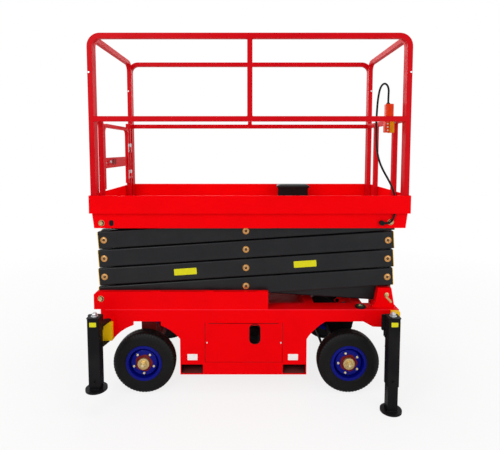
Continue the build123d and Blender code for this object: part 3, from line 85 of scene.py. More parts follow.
def pivot_of(joint_name):
    """Where a joint turns, at rest."""
    return Vector(next(joint for joint in frame["joints"] if joint["name"] == joint_name)["pos_m"])


def side_of(corner):
    """-1 for a corner on the right, 1 for one on the left."""
    return -1 if corner.endswith("right") else 1


def outward(side):
    """Direction that points away from the lift at a side."""
    return Vector((0, side, 0))


def reading_way(side):
    """Direction along which a label on a side's face is read."""
    return Vector((-side, 0, 0))


# ------------------------------------------------------------------ settings


class PaintSettings(bpy.types.PropertyGroup):
    """Colours of the painted and plated surfaces."""

    red: FloatVectorProperty(
        name="Frame red",
        description="Gloss paint of the chassis, box and platform",
        subtype="COLOR",
        size=3,
        min=0,
        max=1,
        default=(0.92, 0.0006, 0.003),
    )
    # painted shade: the frame's own red darkened for the round tubes of the rails and the gate, which carry the
    # same paint
    shaded_rail_red: FloatVectorProperty(
        name="Rail red",
        description="Deeper shade of the same paint on the tubes of the rails and the gate",
        subtype="COLOR",
        size=3,
        min=0,
        max=1,
        default=(0.62, 0.003, 0.008),
    )
    arm_grey: FloatVectorProperty(
        name="Arm grey",
        description="Satin paint of the scissor arms",
        subtype="COLOR",
        size=3,
        min=0,
        max=1,
        default=(0.007, 0.0075, 0.009),
    )
    black: FloatVectorProperty(
        name="Leg black",
        description="Paint of the stabiliser legs, the steered axle and the lift cylinder",
        subtype="COLOR",
        size=3,
        min=0,
        max=1,
        default=(0.006, 0.006, 0.007),
    )
    rim_blue: FloatVectorProperty(
        name="Rim blue",
        description="Gloss paint of the wheel rims",
        subtype="COLOR",
        size=3,
        min=0,
        max=1,
        default=(0.002, 0.005, 0.215),
    )
    marker_yellow: FloatVectorProperty(
        name="Marker yellow",
        description="Paint of the arm end plugs, the leg blocks and the pivot heads",
        subtype="COLOR",
        size=3,
        min=0,
        max=1,
        default=(1.0, 0.60, 0.003),
    )


class WheelSettings(bpy.types.PropertyGroup):
    """Sizes of the tyre tread and the wheel's fittings."""

    groove_depth: FloatProperty(
        name="Groove depth",
        description="Depth of the round grooves in the tread",
        default=0.005,
        min=0.001,
        max=0.010,
        unit="LENGTH",
    )
    shoulder_blocks: IntProperty(
        name="Shoulder blocks",
        description="Blocks around each shoulder of the tread",
        default=60,
        min=24,
        max=96,
    )
    bolt_circle: FloatProperty(
        name="Bolt circle",
        description="Diameter of the circle of wheel nuts",
        default=0.134,
        min=0.09,
        max=0.16,
        unit="LENGTH",
    )
    wheel_nuts: IntProperty(
        name="Wheel nuts",
        description="Nuts that hold each wheel",
        default=5,
        min=4,
        max=8,
    )
    cap_radius: FloatProperty(
        name="Hub cap radius",
        description="Radius of the plated hub cap",
        default=0.0385,
        min=0.03,
        max=0.045,
        unit="LENGTH",
    )


class FittingSettings(bpy.types.PropertyGroup):
    """Sizes of bolts, seams, labels and weld beads."""

    cover_screw: FloatProperty(
        name="Cover screw",
        description="Width over the flats of the box covers' screws",
        default=0.009,
        min=0.006,
        max=0.02,
        unit="LENGTH",
    )
    seam_width: FloatProperty(
        name="Seam width",
        description="Width of the dark joints round the box covers",
        default=0.0035,
        min=0.001,
        max=0.01,
        unit="LENGTH",
    )
    # the rail edge is a bright strip of painted highlight along the chassis rails' top edges
    rail_highlight: FloatProperty(
        name="Rail edge",
        description="Height of the bright worn edge along the chassis rails",
        default=0.0035,
        min=0.001,
        max=0.01,
        unit="LENGTH",
    )
    rail_bolt: FloatProperty(
        name="Rail bolt",
        description="Width over the flats of the corner posts' bolts",
        default=0.011,
        min=0.006,
        max=0.02,
        unit="LENGTH",
    )
    skirt_bolt: FloatProperty(
        name="Skirt bolt",
        description="Width over the flats of the platform skirt's bolts",
        default=0.024,
        min=0.015,
        max=0.035,
        unit="LENGTH",
    )
    label_length: FloatProperty(
        name="Arm label length",
        description="Length of the blank yellow label on an arm",
        default=0.145,
        min=0.08,
        max=0.25,
        unit="LENGTH",
    )
    bead_radius: FloatProperty(
        name="Weld bead radius",
        description="Radius of the weld beads along the frame",
        default=0.0032,
        min=0.001,
        max=0.006,
        unit="LENGTH",
    )


class StageSettings(bpy.types.PropertyGroup):
    """Camera, lamps and room light."""

    camera_place: FloatVectorProperty(
        name="Camera place",
        description="Where the camera stands",
        subtype="TRANSLATION",
        size=3,
        default=(0.001, -3.079, 1.574),
    )
    camera_dip: FloatProperty(
        name="Camera dip",
        description="Angle at which the camera looks down",
        subtype="ANGLE",
        default=math.radians(4.24),
    )
    lens: FloatProperty(
        name="Lens",
        description="Focal length of the camera, in millimetres",
        default=30.55,
        min=10,
        max=120,
        unit="CAMERA",
    )
    lens_shift: FloatProperty(
        name="Lens shift",
        description="Upright shift of the lens, in image widths",
        default=-0.0876,
        min=-0.3,
        max=0.3,
    )
    key_power: FloatProperty(
        name="Key lamp",
        description="Power of the large lamp in front",
        default=82.0,
        min=0,
        unit="POWER",
    )
    fill_power: FloatProperty(
        name="Fill lamp",
        description="Power of the lamp on the other side, of which the one behind gets 0.8",
        default=44.0,
        min=0,
        unit="POWER",
    )
    top_power: FloatProperty(
        name="Top lamp",
        description="Power of the lamp overhead",
        default=62.0,
        min=0,
        unit="POWER",
    )
    room_light: FloatProperty(
        name="Room light",
        description="Strength of the even light from all round",
        default=0.48,
        min=0,
        max=2,
    )


# -------------------------------------------------------------- mesh making

# proportions of a hexagon bolt, as shares of the width over its flats
WASHER_HEIGHT = 0.12
WASHER_RADIUS = 0.80
HEAD_HEIGHT = 0.46


def join_rings(shape, ring, next_ring):
    """Faces between two closed rings that have as many points."""
    for index in range(len(ring)):
        after = (index + 1) % len(ring)
        shape.faces.new((ring[index], ring[after], next_ring[after], next_ring[index]))


def add_block(shape, centre, size, turn=None):
    """A box about a centre, turned by a matrix if one is given."""
    place = Matrix.Translation(Vector(centre))
    if turn is not None:
        place = place @ turn
    bmesh.ops.create_cube(shape, size=1.0, matrix=place @ Matrix.Diagonal((*size, 1.0)))


def add_rod(shape, start, end, radius, sides=24, end_radius=None):
    """A round bar or cone between two points."""
    start = Vector(start)
    end = Vector(end)
    along = end - start
    turn = along.to_track_quat("Z", "Y").to_matrix().to_4x4()
    bmesh.ops.create_cone(
        shape,
        cap_ends=True,
        cap_tris=False,
        segments=sides,
        radius1=radius,
        radius2=radius if end_radius is None else end_radius,
        depth=along.length,
        matrix=Matrix.Translation((start + end) / 2) @ turn,
    )


def add_lathe(shape, profile, origin, axis, steps=48, radius_at=None):
    """A turned form: profile pairs are (radius, distance along the axis)."""
    turn = Vector(axis).to_track_quat("Z", "Y").to_matrix().to_4x4()
    place = Matrix.Translation(Vector(origin)) @ turn
    rings = []
    for row, (radius, along) in enumerate(profile):
        ring = []
        for step in range(steps):
            angle = 2 * math.pi * step / steps
            reach = radius if radius_at is None else radius_at(row, step, radius)
            spot = Vector((reach * math.cos(angle), reach * math.sin(angle), along))
            ring.append(shape.verts.new(place @ spot))
        rings.append(ring)
    for ring, next_ring in zip(rings, rings[1:]):
        join_rings(shape, ring, next_ring)
    return rings


def add_prism(shape, outline, origin, right, up, depth):
    """An outline of (right, up) pairs, raised by a depth square to it."""
    right = Vector(right)
    up = Vector(up)
    out = right.cross(up)
    near = [shape.verts.new(Vector(origin) + right * x + up * y) for x, y in outline]
    far = [shape.verts.new(vertex.co + out * depth) for vertex in near]
    shape.faces.new(list(reversed(near)))
    shape.faces.new(far)
    join_rings(shape, near, far)


def add_bolt(shape, seat, axis, width, washer=True):
    """A hexagon head on a seat, with or without its washer, pointing along an axis."""
    seat = Vector(seat)
    axis = Vector(axis).normalized()
    if washer:
        height = width * WASHER_HEIGHT
        reach = width * WASHER_RADIUS
        profile = [(0.0, 0.0), (reach, 0.0), (reach, height), (width * 0.3, height)]
        add_lathe(shape, profile, seat, axis, steps=24)
        seat = seat + axis * height
    head = width * HEAD_HEIGHT
    corner = width / math.cos(math.radians(30)) / 2
    profile = [
        (corner, 0.0),
        (corner, head * 0.80),
        (corner * 0.86, head),
        (corner * 0.50, head),
        (corner * 0.46, head * 0.92),
        (0.0, head * 0.92),
    ]
    add_lathe(shape, profile, seat, axis, steps=6)


def add_shadow_ring(shape, seat, axis, width):
    """A thin black ring on the washer, round the foot of a hexagon head: a painted shadow round the head."""
    inner = width * 0.45
    outer = width * 0.68
    low = width * WASHER_HEIGHT - 0.0005
    high = width * WASHER_HEIGHT + 0.0008
    add_lathe(shape, [(inner, low), (inner, high), (outer, high), (outer, low)], seat, axis, steps=28)


def add_bead(shape, start, end, radius):
    """A rippled weld bead between two points."""
    start = Vector(start)
    end = Vector(end)
    length = (end - start).length
    ripples = max(3, round(length / (radius * 1.2)))
    profile = [(radius * 0.3, 0.0)]
    for ripple in range(ripples):
        near = length * ripple / ripples
        profile.append((radius * 0.86, near + length * 0.1 / ripples))
        profile.append((radius, near + length * 0.5 / ripples))
    profile.append((radius * 0.3, length))
    add_lathe(shape, profile, start, end - start, steps=8)


def rounded_outline(width, height, radius, steps=5):
    """Corner points of a rectangle about the origin with round corners."""
    inset_x = width / 2 - radius
    inset_y = height / 2 - radius
    corners = ((inset_x, inset_y), (-inset_x, inset_y), (-inset_x, -inset_y), (inset_x, -inset_y))
    points = []
    for quarter, (x, y) in enumerate(corners):
        for step in range(steps + 1):
            angle = math.radians(90 * quarter + 90 * step / steps)
            points.append((x + radius * math.cos(angle), y + radius * math.sin(angle)))
    return points


def add_outline_bead(shape, centre, outline, radius, sides=8):
    """A round bead bent along an upright outline that faces the side."""
    centre = Vector(centre)
    rings = []
    for index, (x, z) in enumerate(outline):
        before = outline[index - 1]
        after = outline[(index + 1) % len(outline)]
        away = Vector((after[1] - before[1], 0, before[0] - after[0])).normalized()
        ring = []
        for side in range(sides):
            turn = 2 * math.pi * side / sides
            offset = away * (radius * math.cos(turn)) + Vector((0, radius * math.sin(turn), 0))
            ring.append(shape.verts.new(centre + Vector((x, 0, z)) + offset))
        rings.append(ring)
    for ring, next_ring in zip(rings, rings[1:] + rings[:1]):
        join_rings(shape, ring, next_ring)


def finish_piece(shape, name, body, finish, bevel=0.0, smooth_angle=35):
    """Turn a mesh under construction into a piece that rides on a body."""
    bmesh.ops.remove_doubles(shape, verts=shape.verts, dist=1e-6)
    bmesh.ops.recalc_face_normals(shape, faces=shape.faces)
    mesh = bpy.data.meshes.new(name)
    shape.to_mesh(mesh)
    shape.free()
    piece = bpy.data.objects.new(name, mesh)
    bpy.context.scene.collection.objects.link(piece)
    mesh.materials.append(FINISHES[finish])
    mesh.shade_smooth()
    mesh.set_sharp_from_angle(angle=math.radians(smooth_angle))
    if bevel:
        edge = piece.modifiers.new("edge", "BEVEL")
        edge.width = bevel
        edge.segments = 2
        edge.limit_method = "ANGLE"
        edge.angle_limit = math.radians(40)
        edge.harden_normals = True
    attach(piece, body)
    return piece


# ---------------------------------------------------------------- materials


def start_material(name):
    """A new material with its node tree and its shader."""
    material = bpy.data.materials.new(name)
    material.use_nodes = True
    tree = material.node_tree
    return material, tree, tree.nodes["Principled BSDF"]


def add_noise(tree, scale, detail):
    """Grey noise over the object's own coordinates."""
    place = tree.nodes.new("ShaderNodeTexCoord")
    noise = tree.nodes.new("ShaderNodeTexNoise")
    noise.inputs["Scale"].default_value = scale
    noise.inputs["Detail"].default_value = detail
    noise.inputs["Roughness"].default_value = 0.55
    tree.links.new(place.outputs["Object"], noise.inputs["Vector"])
    return noise.outputs["Fac"]


def add_ramp(tree, source, span, low, high):
    """A grey value that goes from low to high while the source crosses a span."""
    ramp = tree.nodes.new("ShaderNodeMapRange")
    ramp.inputs["From Min"].default_value = span[0]
    ramp.inputs["From Max"].default_value = span[1]
    ramp.inputs["To Min"].default_value = low
    ramp.inputs["To Max"].default_value = high
    tree.links.new(source, ramp.inputs["Value"])
    return ramp.outputs["Result"]


def add_math(tree, operation, first, second):
    """Work out a grey value from two others."""
    node = tree.nodes.new("ShaderNodeMath")
    node.operation = operation
    tree.links.new(first, node.inputs[0])
    tree.links.new(second, node.inputs[1])
    return node.outputs["Value"]


def mottle(tree, shader, cloud, span, share, colour, second):
    """Base colour with a second colour blended in, up to a share, where a noise crosses a span."""
    mix = tree.nodes.new("ShaderNodeMix")
    mix.data_type = "RGBA"
    mix.inputs["A"].default_value = (*colour, 1.0)
    mix.inputs["B"].default_value = (*second, 1.0)
    tree.links.new(add_ramp(tree, cloud, span, 0.0, share), mix.inputs["Factor"])
    tree.links.new(mix.outputs["Result"], shader.inputs["Base Color"])


def vary_gloss(tree, shader, cloud, low, high):
    """Roughness that drifts between two values with a noise."""
    tree.links.new(add_ramp(tree, cloud, (0.3, 0.7), low, high), shader.inputs["Roughness"])


def add_bump(tree, shader, height, strength, distance):
    """Raise the surface by a grey value."""
    bump = tree.nodes.new("ShaderNodeBump")
    bump.inputs["Strength"].default_value = strength
    bump.inputs["Distance"].default_value = distance
    tree.links.new(height, bump.inputs["Height"])
    tree.links.new(bump.outputs["Normal"], shader.inputs["Normal"])


def painted_steel(name, colour, roughness, coat=0.0, dust=(0.5, 0.5, 0.5), dust_share=0.05, sheen=0.12):
    """Paint on steel: a faint orange-peel skin, uneven gloss and a little dust."""
    material, tree, shader = start_material(name)
    cloud = add_noise(tree, scale=5.0, detail=4.0)
    mottle(tree, shader, cloud, (0.45, 0.75), dust_share, colour, dust)
    gloss = add_noise(tree, scale=16.0, detail=3.0)
    vary_gloss(tree, shader, gloss, roughness * 0.85, roughness * 1.2)
    peel = add_noise(tree, scale=380.0, detail=1.0)
    add_bump(tree, shader, peel, strength=0.12, distance=0.0006)
    shader.inputs["Specular IOR Level"].default_value = sheen
    shader.inputs["Coat Weight"].default_value = coat
    shader.inputs["Coat Roughness"].default_value = 0.12
    return material


def plated_steel(name, colour, second, roughness):
    """Zinc or other plating: a blotchy tint over bright metal."""
    material, tree, shader = start_material(name)
    cloud = add_noise(tree, scale=34.0, detail=2.0)
    mottle(tree, shader, cloud, (0.30, 0.70), 0.8, colour, second)
    vary_gloss(tree, shader, cloud, roughness * 0.8, roughness * 1.25)
    fine = add_noise(tree, scale=900.0, detail=2.0)
    add_bump(tree, shader, fine, strength=0.08, distance=0.0003)
    shader.inputs["Metallic"].default_value = 0.85
    return material


def tyre_rubber():
    """Matt rubber with fine grain and a little grey bloom."""
    material, tree, shader = start_material("tyre_rubber")
    cloud = add_noise(tree, scale=9.0, detail=5.0)
    mottle(tree, shader, cloud, (0.4, 0.7), 0.5, (0.0030, 0.0030, 0.0030), (0.0065, 0.0063, 0.0060))
    vary_gloss(tree, shader, cloud, 0.40, 0.52)
    grain = add_noise(tree, scale=520.0, detail=2.0)
    add_bump(tree, shader, grain, strength=0.25, distance=0.0006)
    shader.inputs["Specular IOR Level"].default_value = 0.17
    return material


def moulded_plastic(name, colour, roughness):
    """Moulded plastic with a fine spark-eroded grain."""
    material, tree, shader = start_material(name)
    cloud = add_noise(tree, scale=30.0, detail=2.0)
    darker = tuple(part * 0.82 for part in colour)
    mottle(tree, shader, cloud, (0.35, 0.7), 1.0, colour, darker)
    vary_gloss(tree, shader, cloud, roughness * 0.9, roughness * 1.15)
    grain = add_noise(tree, scale=1400.0, detail=1.0)
    add_bump(tree, shader, grain, strength=0.15, distance=0.0003)
    shader.inputs["Specular IOR Level"].default_value = 0.14
    return material


def chequer_plate():
    """Painted floor plate with raised bars that cross in a basket pattern."""
    material, tree, shader = start_material("chequer_plate")
    red = bpy.context.scene.lift_paint.red
    cloud = add_noise(tree, scale=6.0, detail=4.0)
    worn = (red[0] * 0.55, red[1] * 0.8 + 0.01, red[2] * 0.8 + 0.01)
    mottle(tree, shader, cloud, (0.4, 0.7), 0.35, red, worn)
    shader.inputs["Roughness"].default_value = 0.42
    shader.inputs["Specular IOR Level"].default_value = 0.08
    place = tree.nodes.new("ShaderNodeTexCoord")
    turned = tree.nodes.new("ShaderNodeMapping")
    turned.inputs["Rotation"].default_value = (0.0, 0.0, math.radians(45))
    tree.links.new(place.outputs["Object"], turned.inputs["Vector"])
    bars = tree.nodes.new("ShaderNodeTexBrick")
    bars.offset = 0.5
    bars.inputs["Scale"].default_value = 22.0
    bars.inputs["Mortar Size"].default_value = 0.09
    bars.inputs["Mortar Smooth"].default_value = 0.5
    bars.inputs["Color1"].default_value = (1, 1, 1, 1)
    bars.inputs["Color2"].default_value = (1, 1, 1, 1)
    bars.inputs["Mortar"].default_value = (0, 0, 0, 1)
    tree.links.new(turned.outputs["Vector"], bars.inputs["Vector"])
    add_bump(tree, shader, bars.outputs["Fac"], strength=0.6, distance=0.0012)
    return material


def label_face(name, colour):
    """A blank printed label with a slightly dirty satin face."""
    material, tree, shader = start_material(name)
    cloud = add_noise(tree, scale=40.0, detail=3.0)
    dull = tuple(part * 0.75 for part in colour)
    mottle(tree, shader, cloud, (0.45, 0.75), 0.25, colour, dull)
    fine = add_noise(tree, scale=300.0, detail=1.0)
    add_bump(tree, shader, fine, strength=0.05, distance=0.0003)
    shader.inputs["Roughness"].default_value = 0.4
    shader.inputs["Specular IOR Level"].default_value = 0.1
    return material


# plated and bare metals: finish, its material's name, colour, second colour, roughness
METALS = (
    ("zinc", "zinc_plate", (0.66, 0.67, 0.68), (0.52, 0.53, 0.55), 0.32),
    ("gilt", "yellow_zinc", (0.66, 0.50, 0.22), (0.58, 0.46, 0.22), 0.30),
    ("pale_gilt", "pale_gilt", (0.86, 0.78, 0.50), (0.74, 0.64, 0.38), 0.26),
    ("bronze", "bronze_bush", (0.66, 0.32, 0.09), (0.50, 0.23, 0.06), 0.34),
    ("brass", "brass_ring", (0.76, 0.46, 0.20), (0.62, 0.36, 0.15), 0.28),
    ("chrome", "ground_rod", (0.80, 0.80, 0.81), (0.74, 0.74, 0.75), 0.10),
)

# plastics and rubbers: finish, its material's name, colour, roughness
PLASTICS = (
    ("rubber", "soft_black", (0.005, 0.005, 0.005), 0.6),
    ("dark_plastic", "dark_plastic", (0.006, 0.006, 0.006), 0.38),
    ("orange", "handset_orange", (0.86, 0.050, 0.003), 0.36),
    ("amber", "handset_amber", (0.88, 0.35, 0.004), 0.36),
    ("pale", "pale_plastic", (0.75, 0.74, 0.70), 0.35),
    ("unit", "unit_grey", (0.10, 0.10, 0.10), 0.5),
    ("cable", "cable_sheath", (0.006, 0.006, 0.0065), 0.5),
    ("green", "level_fluid", (0.05, 0.07, 0.02), 0.15),
)

FINISHES = {}


def make_paints():
    """Paints of the frame, arms, legs, rims and markers, with their worn and shaded parts."""
    paint = bpy.context.scene.lift_paint
    FINISHES["red"] = painted_steel(
        "red_gloss", paint.red, 0.34, dust=(0.66, 0.001, 0.003), dust_share=0.25, sheen=0.02
    )
    # painted shade: the frame red darkened for the rails, the gate and the rails' weld beads
    FINISHES["rail"] = painted_steel(
        "shaded_rail_gloss", paint.shaded_rail_red, 0.34, dust=(0.45, 0.001, 0.004), dust_share=0.3, sheen=0.04
    )
    # painted highlight: a brighter red for the strips along the rails' top edges
    FINISHES["edge"] = painted_steel(
        "rail_highlight_red", (1.0, 0.022, 0.040), 0.30, dust=(0.9, 0.01, 0.02), dust_share=0.2, sheen=0.05
    )
    FINISHES["seam"] = painted_steel("seam_shadow", (0.34, 0.001, 0.002), 0.5, sheen=0.03)
    # painted shade: a dark brownish red for the floors inside the fork pockets
    FINISHES["pocket"] = painted_steel("pocket_floor_shade", (0.20, 0.030, 0.028), 0.6, sheen=0.05)
    # dark red: the hub flanges' own colour, and on the rear axle a painted shade
    FINISHES["deep_red"] = painted_steel("hub_red_and_axle_shade", (0.16, 0.006, 0.006), 0.5)
    FINISHES["arm"] = painted_steel(
        "arm_satin", paint.arm_grey, 0.36, dust=(0.035, 0.035, 0.035), dust_share=0.18, sheen=0.26
    )
    # painted shade: a near-black brown for the sunk pin ends, where the hole is dark
    FINISHES["well"] = painted_steel("pin_hole_shade", (0.045, 0.008, 0.002), 0.5)
    FINISHES["black"] = painted_steel(
        "black_satin", paint.black, 0.40, dust=(0.04, 0.04, 0.04), dust_share=0.2, sheen=0.08
    )
    FINISHES["rim"] = painted_steel(
        "rim_gloss", paint.rim_blue, 0.30, coat=0.06, dust=(0.006, 0.010, 0.18), dust_share=0.4, sheen=0.08
    )
    FINISHES["yellow"] = painted_steel(
        "marker_paint", paint.marker_yellow, 0.4, dust=(0.80, 0.46, 0.004), dust_share=0.3
    )


def make_finishes():
    """Make each finish once, under a plain name."""
    make_paints()
    for finish, name, colour, second, roughness in METALS:
        FINISHES[finish] = plated_steel(name, colour, second, roughness)
    for finish, name, colour, roughness in PLASTICS:
        FINISHES[finish] = moulded_plastic(name, colour, roughness)
    FINISHES["tyre"] = tyre_rubber()
    FINISHES["plate"] = chequer_plate()
    FINISHES["label_yellow"] = label_face("label_yellow", (0.74, 0.70, 0.014))
    FINISHES["label_white"] = label_face("label_white", (0.94, 0.94, 0.92))


# finish of each material slot in the record, for the nodes that keep their own solid
SLOT_FINISH = {
    "red_paint": "red",
    "dark_arm": "arm",
    "black_steel": "black",
    "marker_yellow": "yellow",
    "bronze": "bronze",
    "zinc": "zinc",
    "rod_chrome": "chrome",
    "rim_blue": "rim",
    "tyre_rubber": "tyre",
    "deck_plate": "plate",
    "unit_block": "unit",
    "handset_case": "orange",
    "box_case": "dark_plastic",
    "black_rubber": "rubber",
    "cable_sheath": "cable",
}

# finish of the nodes that differ from the rest of their slot
NODE_FINISH = {
    # the rails and the gate take the darkened red as painted shade
    "guard_right": "rail",
    "guard_left": "rail",
    "guard_front": "rail",
    "guard_rear": "rail",
    "gate": "rail",
    # the rear axle takes the dark red as painted shade under the chassis
    "rear_axle": "deep_red",
}


class LIFT_OT_finishes(bpy.types.Operator):
    """Give every carried-over solid its finish"""

    bl_idname = "scissor_lift.finishes"
    bl_label = "Finishes"

    def execute(self, context):
        make_finishes()
        for entry in frame["record"]["subparts"]:
            solid = frame["nodes"][entry["node"]]
            finish = NODE_FINISH.get(entry["node"], SLOT_FINISH[entry["material_slot"]])
            for place in solid.material_slots:
                place.material = FINISHES[finish]
        return {"FINISHED"}


# -------------------------------------------------------------------- wheels

SHOULDER_NOTCH = 0.0035       # depth of the cuts between the shoulder blocks
CUT_PITCH = 4                 # steps round the tread from cut to cut
RIM_LIP = 0.002               # how far the rim's edge stands over the tyre's bead


def tyre_wall(outer, half, bead):
    """Side wall from the bead to the shoulder: radius, distance from the middle plane."""
    return [
        (bead - 0.010, half * 0.60),
        (bead, half * 0.80),
        (bead + 0.004, half * 0.88),
        (bead + 0.008, half * 0.90),
        (bead + 0.010, half * 0.955),
        (bead + 0.014, half * 0.965),
        (bead + 0.018, half * 0.955),
        (bead + 0.026, half * 0.985),
        (outer * 0.76, half),
        (outer * 0.80, half * 0.995),
        (outer * 0.803, half),
        (outer * 0.812, half),
        (outer * 0.815, half * 0.985),
        (outer * 0.87, half * 0.955),
        (outer * 0.915, half * 0.90),
        (outer * 0.95, half * 0.84),
        (outer * 0.975, half * 0.76),
    ]


def tyre_ribs(outer, half, groove):
    """Ribs and grooves from the shoulder to the middle of the tread, measured as the wall is."""
    return [
        (outer * 0.990, half * 0.68),
        (outer * 0.993, half * 0.58),
        (outer * 0.993 - groove, half * 0.56),
        (outer * 0.993 - groove, half * 0.48),
        (outer * 0.997, half * 0.46),
        (outer * 0.999, half * 0.22),
        (outer * 0.999 - groove, half * 0.20),
        (outer * 0.999 - groove, half * 0.11),
        (outer, half * 0.09),
    ]


class LIFT_OT_tyres(bpy.types.Operator):
    """Tyres with grooved treads, shoulder blocks and ringed side walls"""

    bl_idname = "scissor_lift.tyres"
    bl_label = "Tyres"

    def execute(self, context):
        wheels = context.scene.lift_wheels
        steps = wheels.shoulder_blocks * CUT_PITCH
        for corner in CORNERS:
            low, high = box_of("tyre_" + corner)
            outer = (high.z - low.z) / 2
            half = (high.y - low.y) / 2
            rim_low, rim_high = box_of("rim_" + corner)
            wall = tyre_wall(outer, half, (rim_high.z - rim_low.z) / 2 - RIM_LIP)
            side = wall + tyre_ribs(outer, half, wheels.groove_depth)
            profile = side + [(radius, -along) for radius, along in reversed(side)]
            shoulder = set(range(len(wall) - 3, len(wall) + 1))
            shoulder |= {len(profile) - 1 - row for row in shoulder}

            def radius_at(row, step, radius):
                """Radius of the tread, less the notch at the cuts between the blocks."""
                cut = row in shoulder and step % CUT_PITCH == 0
                return radius - SHOULDER_NOTCH if cut else radius

            shape = bmesh.new()
            rings = add_lathe(shape, profile, middle_of("tyre_" + corner), LEFTWARD, steps, radius_at)
            join_rings(shape, rings[-1], rings[0])
            piece = finish_piece(
                shape, "tread_" + corner, "wheel_" + corner, "tyre", smooth_angle=30
            )
            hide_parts("tyre_" + corner)
        return {"FINISHED"}


# faces of a wheel, measured along its axle from its middle
DISC_REACH = 0.012            # pressed disc
DISH_REACH = 0.036            # bolted dish in front of it, where the nuts sit

FLANGE_SIDES = 5
FLANGE_STEPS = 60
FLANGE_RADIUS = 0.057
FLANGE_HOLE = 0.030
FLANGE_FACE = 0.0045          # of the hub's red flange, in front of the dish
CAP_FACE = 0.0206             # of the hub cap, in front of the dish
HUB_NUT = 0.034
WHEEL_NUT = 0.0145
STUD_RADIUS = 0.0034
VALVE_INSET = 0.022           # from the rim's lower edge to the valve's foot

# angle of a wheel's first nut at each end of the lift
FIRST_NUT = {"front": math.radians(180), "rear": math.radians(126)}


def make_dish(middle, out, body, corner):
    """Pressed dish that stands in front of the wheel's disc and carries the nuts."""
    dish = bmesh.new()
    profile = [
        (0.0495, DISC_REACH + 0.0003),
        (0.0905, DISC_REACH + 0.0003),
        (0.0900, DISC_REACH + 0.006),
        (0.0860, DISH_REACH - 0.007),
        (0.0820, DISH_REACH - 0.001),
        (0.0790, DISH_REACH),
        (0.0, DISH_REACH),
    ]
    add_lathe(dish, profile, middle, out, steps=72)
    finish_piece(dish, "wheel_dish_" + corner, body, "rim", smooth_angle=50)


def flange_radius(row, step, radius):
    """Five blunt corners round the hub's flange; its hole stays round."""
    if radius <= FLANGE_HOLE:
        return radius
    return radius * (0.95 + 0.05 * math.cos(2 * math.pi * FLANGE_SIDES * step / FLANGE_STEPS))


def make_sleeve(face, out, body, corner):
    """Red five-cornered flange of the hub, flat on the dish."""
    sleeve = bmesh.new()
    profile = [
        (FLANGE_RADIUS, 0.0),
        (FLANGE_RADIUS, 0.003),
        (FLANGE_RADIUS - 0.003, FLANGE_FACE),
        (FLANGE_HOLE, FLANGE_FACE),
    ]
    add_lathe(sleeve, profile, face, out, FLANGE_STEPS, flange_radius)
    finish_piece(sleeve, "hub_sleeve_" + corner, body, "deep_red")


def make_cap(face, out, body, corner, radius):
    """Plated hub cap with a sunk ring and the hub's nut in its middle."""
    cap = bmesh.new()
    sunk = CAP_FACE - 0.0016
    profile = [
        (radius, 0.003),
        (radius, 0.016),
        (radius * 0.95, CAP_FACE - 0.0011),
        (radius * 0.86, CAP_FACE),
        (radius * 0.80, CAP_FACE),
        (radius * 0.77, sunk),
        (radius * 0.60, sunk),
        (radius * 0.57, CAP_FACE),
        (0.0, CAP_FACE),
    ]
    add_lathe(cap, profile, face, out, steps=48)
    add_bolt(cap, face + out * (CAP_FACE - 0.0002), out, HUB_NUT, washer=False)
    finish_piece(cap, "hub_cap_" + corner, body, "gilt")


def make_wheel_nuts(face, out, body, corner, count, circle):
    """Wheel nuts with their stud ends, and the axle's end in the hub's nut."""
    nuts = bmesh.new()
    add_rod(nuts, face + out * 0.030, face + out * 0.0430, 0.0085, 24, end_radius=0.0078)
    for nut in range(count):
        angle = FIRST_NUT[corner.split("_")[0]] + 2 * math.pi * nut / count
        seat = face + Vector((math.cos(angle), 0, math.sin(angle))) * (circle / 2)
        add_bolt(nuts, seat, out, WHEEL_NUT, washer=False)
        add_rod(nuts, seat + out * 0.005, seat + out * 0.0100, STUD_RADIUS, 12)
    finish_piece(nuts, "wheel_nuts_" + corner, body, "pale_gilt", bevel=0.0004)


def make_valve(middle, out, body, corner):
    """Tyre valve, which leans out of the rim's lower edge."""
    low, high = box_of("rim_" + corner)
    valve = bmesh.new()
    foot = middle + out * (DISC_REACH + 0.004) - UP * ((high.z - low.z) / 2 - VALVE_INSET)
    tip = foot + out * 0.014 + UP * 0.006
    add_rod(valve, foot, tip, 0.0042, 12, end_radius=0.0034)
    finish_piece(valve, "valve_" + corner, body, "rubber", bevel=0.0006)


class LIFT_OT_hubs(bpy.types.Operator):
    """Wheel dishes, hub sleeves, hub caps, wheel nuts and tyre valves"""

    bl_idname = "scissor_lift.hubs"
    bl_label = "Hubs and wheel nuts"

    def execute(self, context):
        wheels = context.scene.lift_wheels
        for corner in CORNERS:
            out = outward(side_of(corner))
            middle = middle_of("tyre_" + corner)
            face = middle + out * DISH_REACH
            body = "wheel_" + corner
            make_dish(middle, out, body, corner)
            make_sleeve(face, out, body, corner)
            make_cap(face, out, body, corner, wheels.cap_radius)
            make_wheel_nuts(face, out, body, corner, wheels.wheel_nuts, wheels.bolt_circle)
            make_valve(middle, out, body, corner)
        return {"FINISHED"}


# ------------------------------------------------------------- scissor arms

ARM_HEIGHT = 0.112
ARM_WIDTH = 0.046
ARM_OVERHANG = 0.035          # of an arm's end past its pin
OUTER_ARM_MIDDLE = box_of("outer_arms_1")[1].y - ARM_WIDTH / 2
INNER_ARM_MIDDLE = 0.322
BUSH_RADIUS = 0.0205
JOURNAL_RADIUS = 0.015
PLUG_THICKNESS = 0.007
PLUG_GAP = 0.004              # how much smaller a plug is than its arm, both ways
PLUG_LIFT = 0.001             # of a plug's middle past the arm's end
PIN_SINK = 0.004              # of a pin's end under the bush's face
NIPPLE = 0.005

LABEL_THICKNESS = 0.0006
ARM_LABEL_STAGE = 2
ARM_LABEL_PLACES = (-0.415, 0.355)
ARM_LABEL_HEIGHT = 0.042

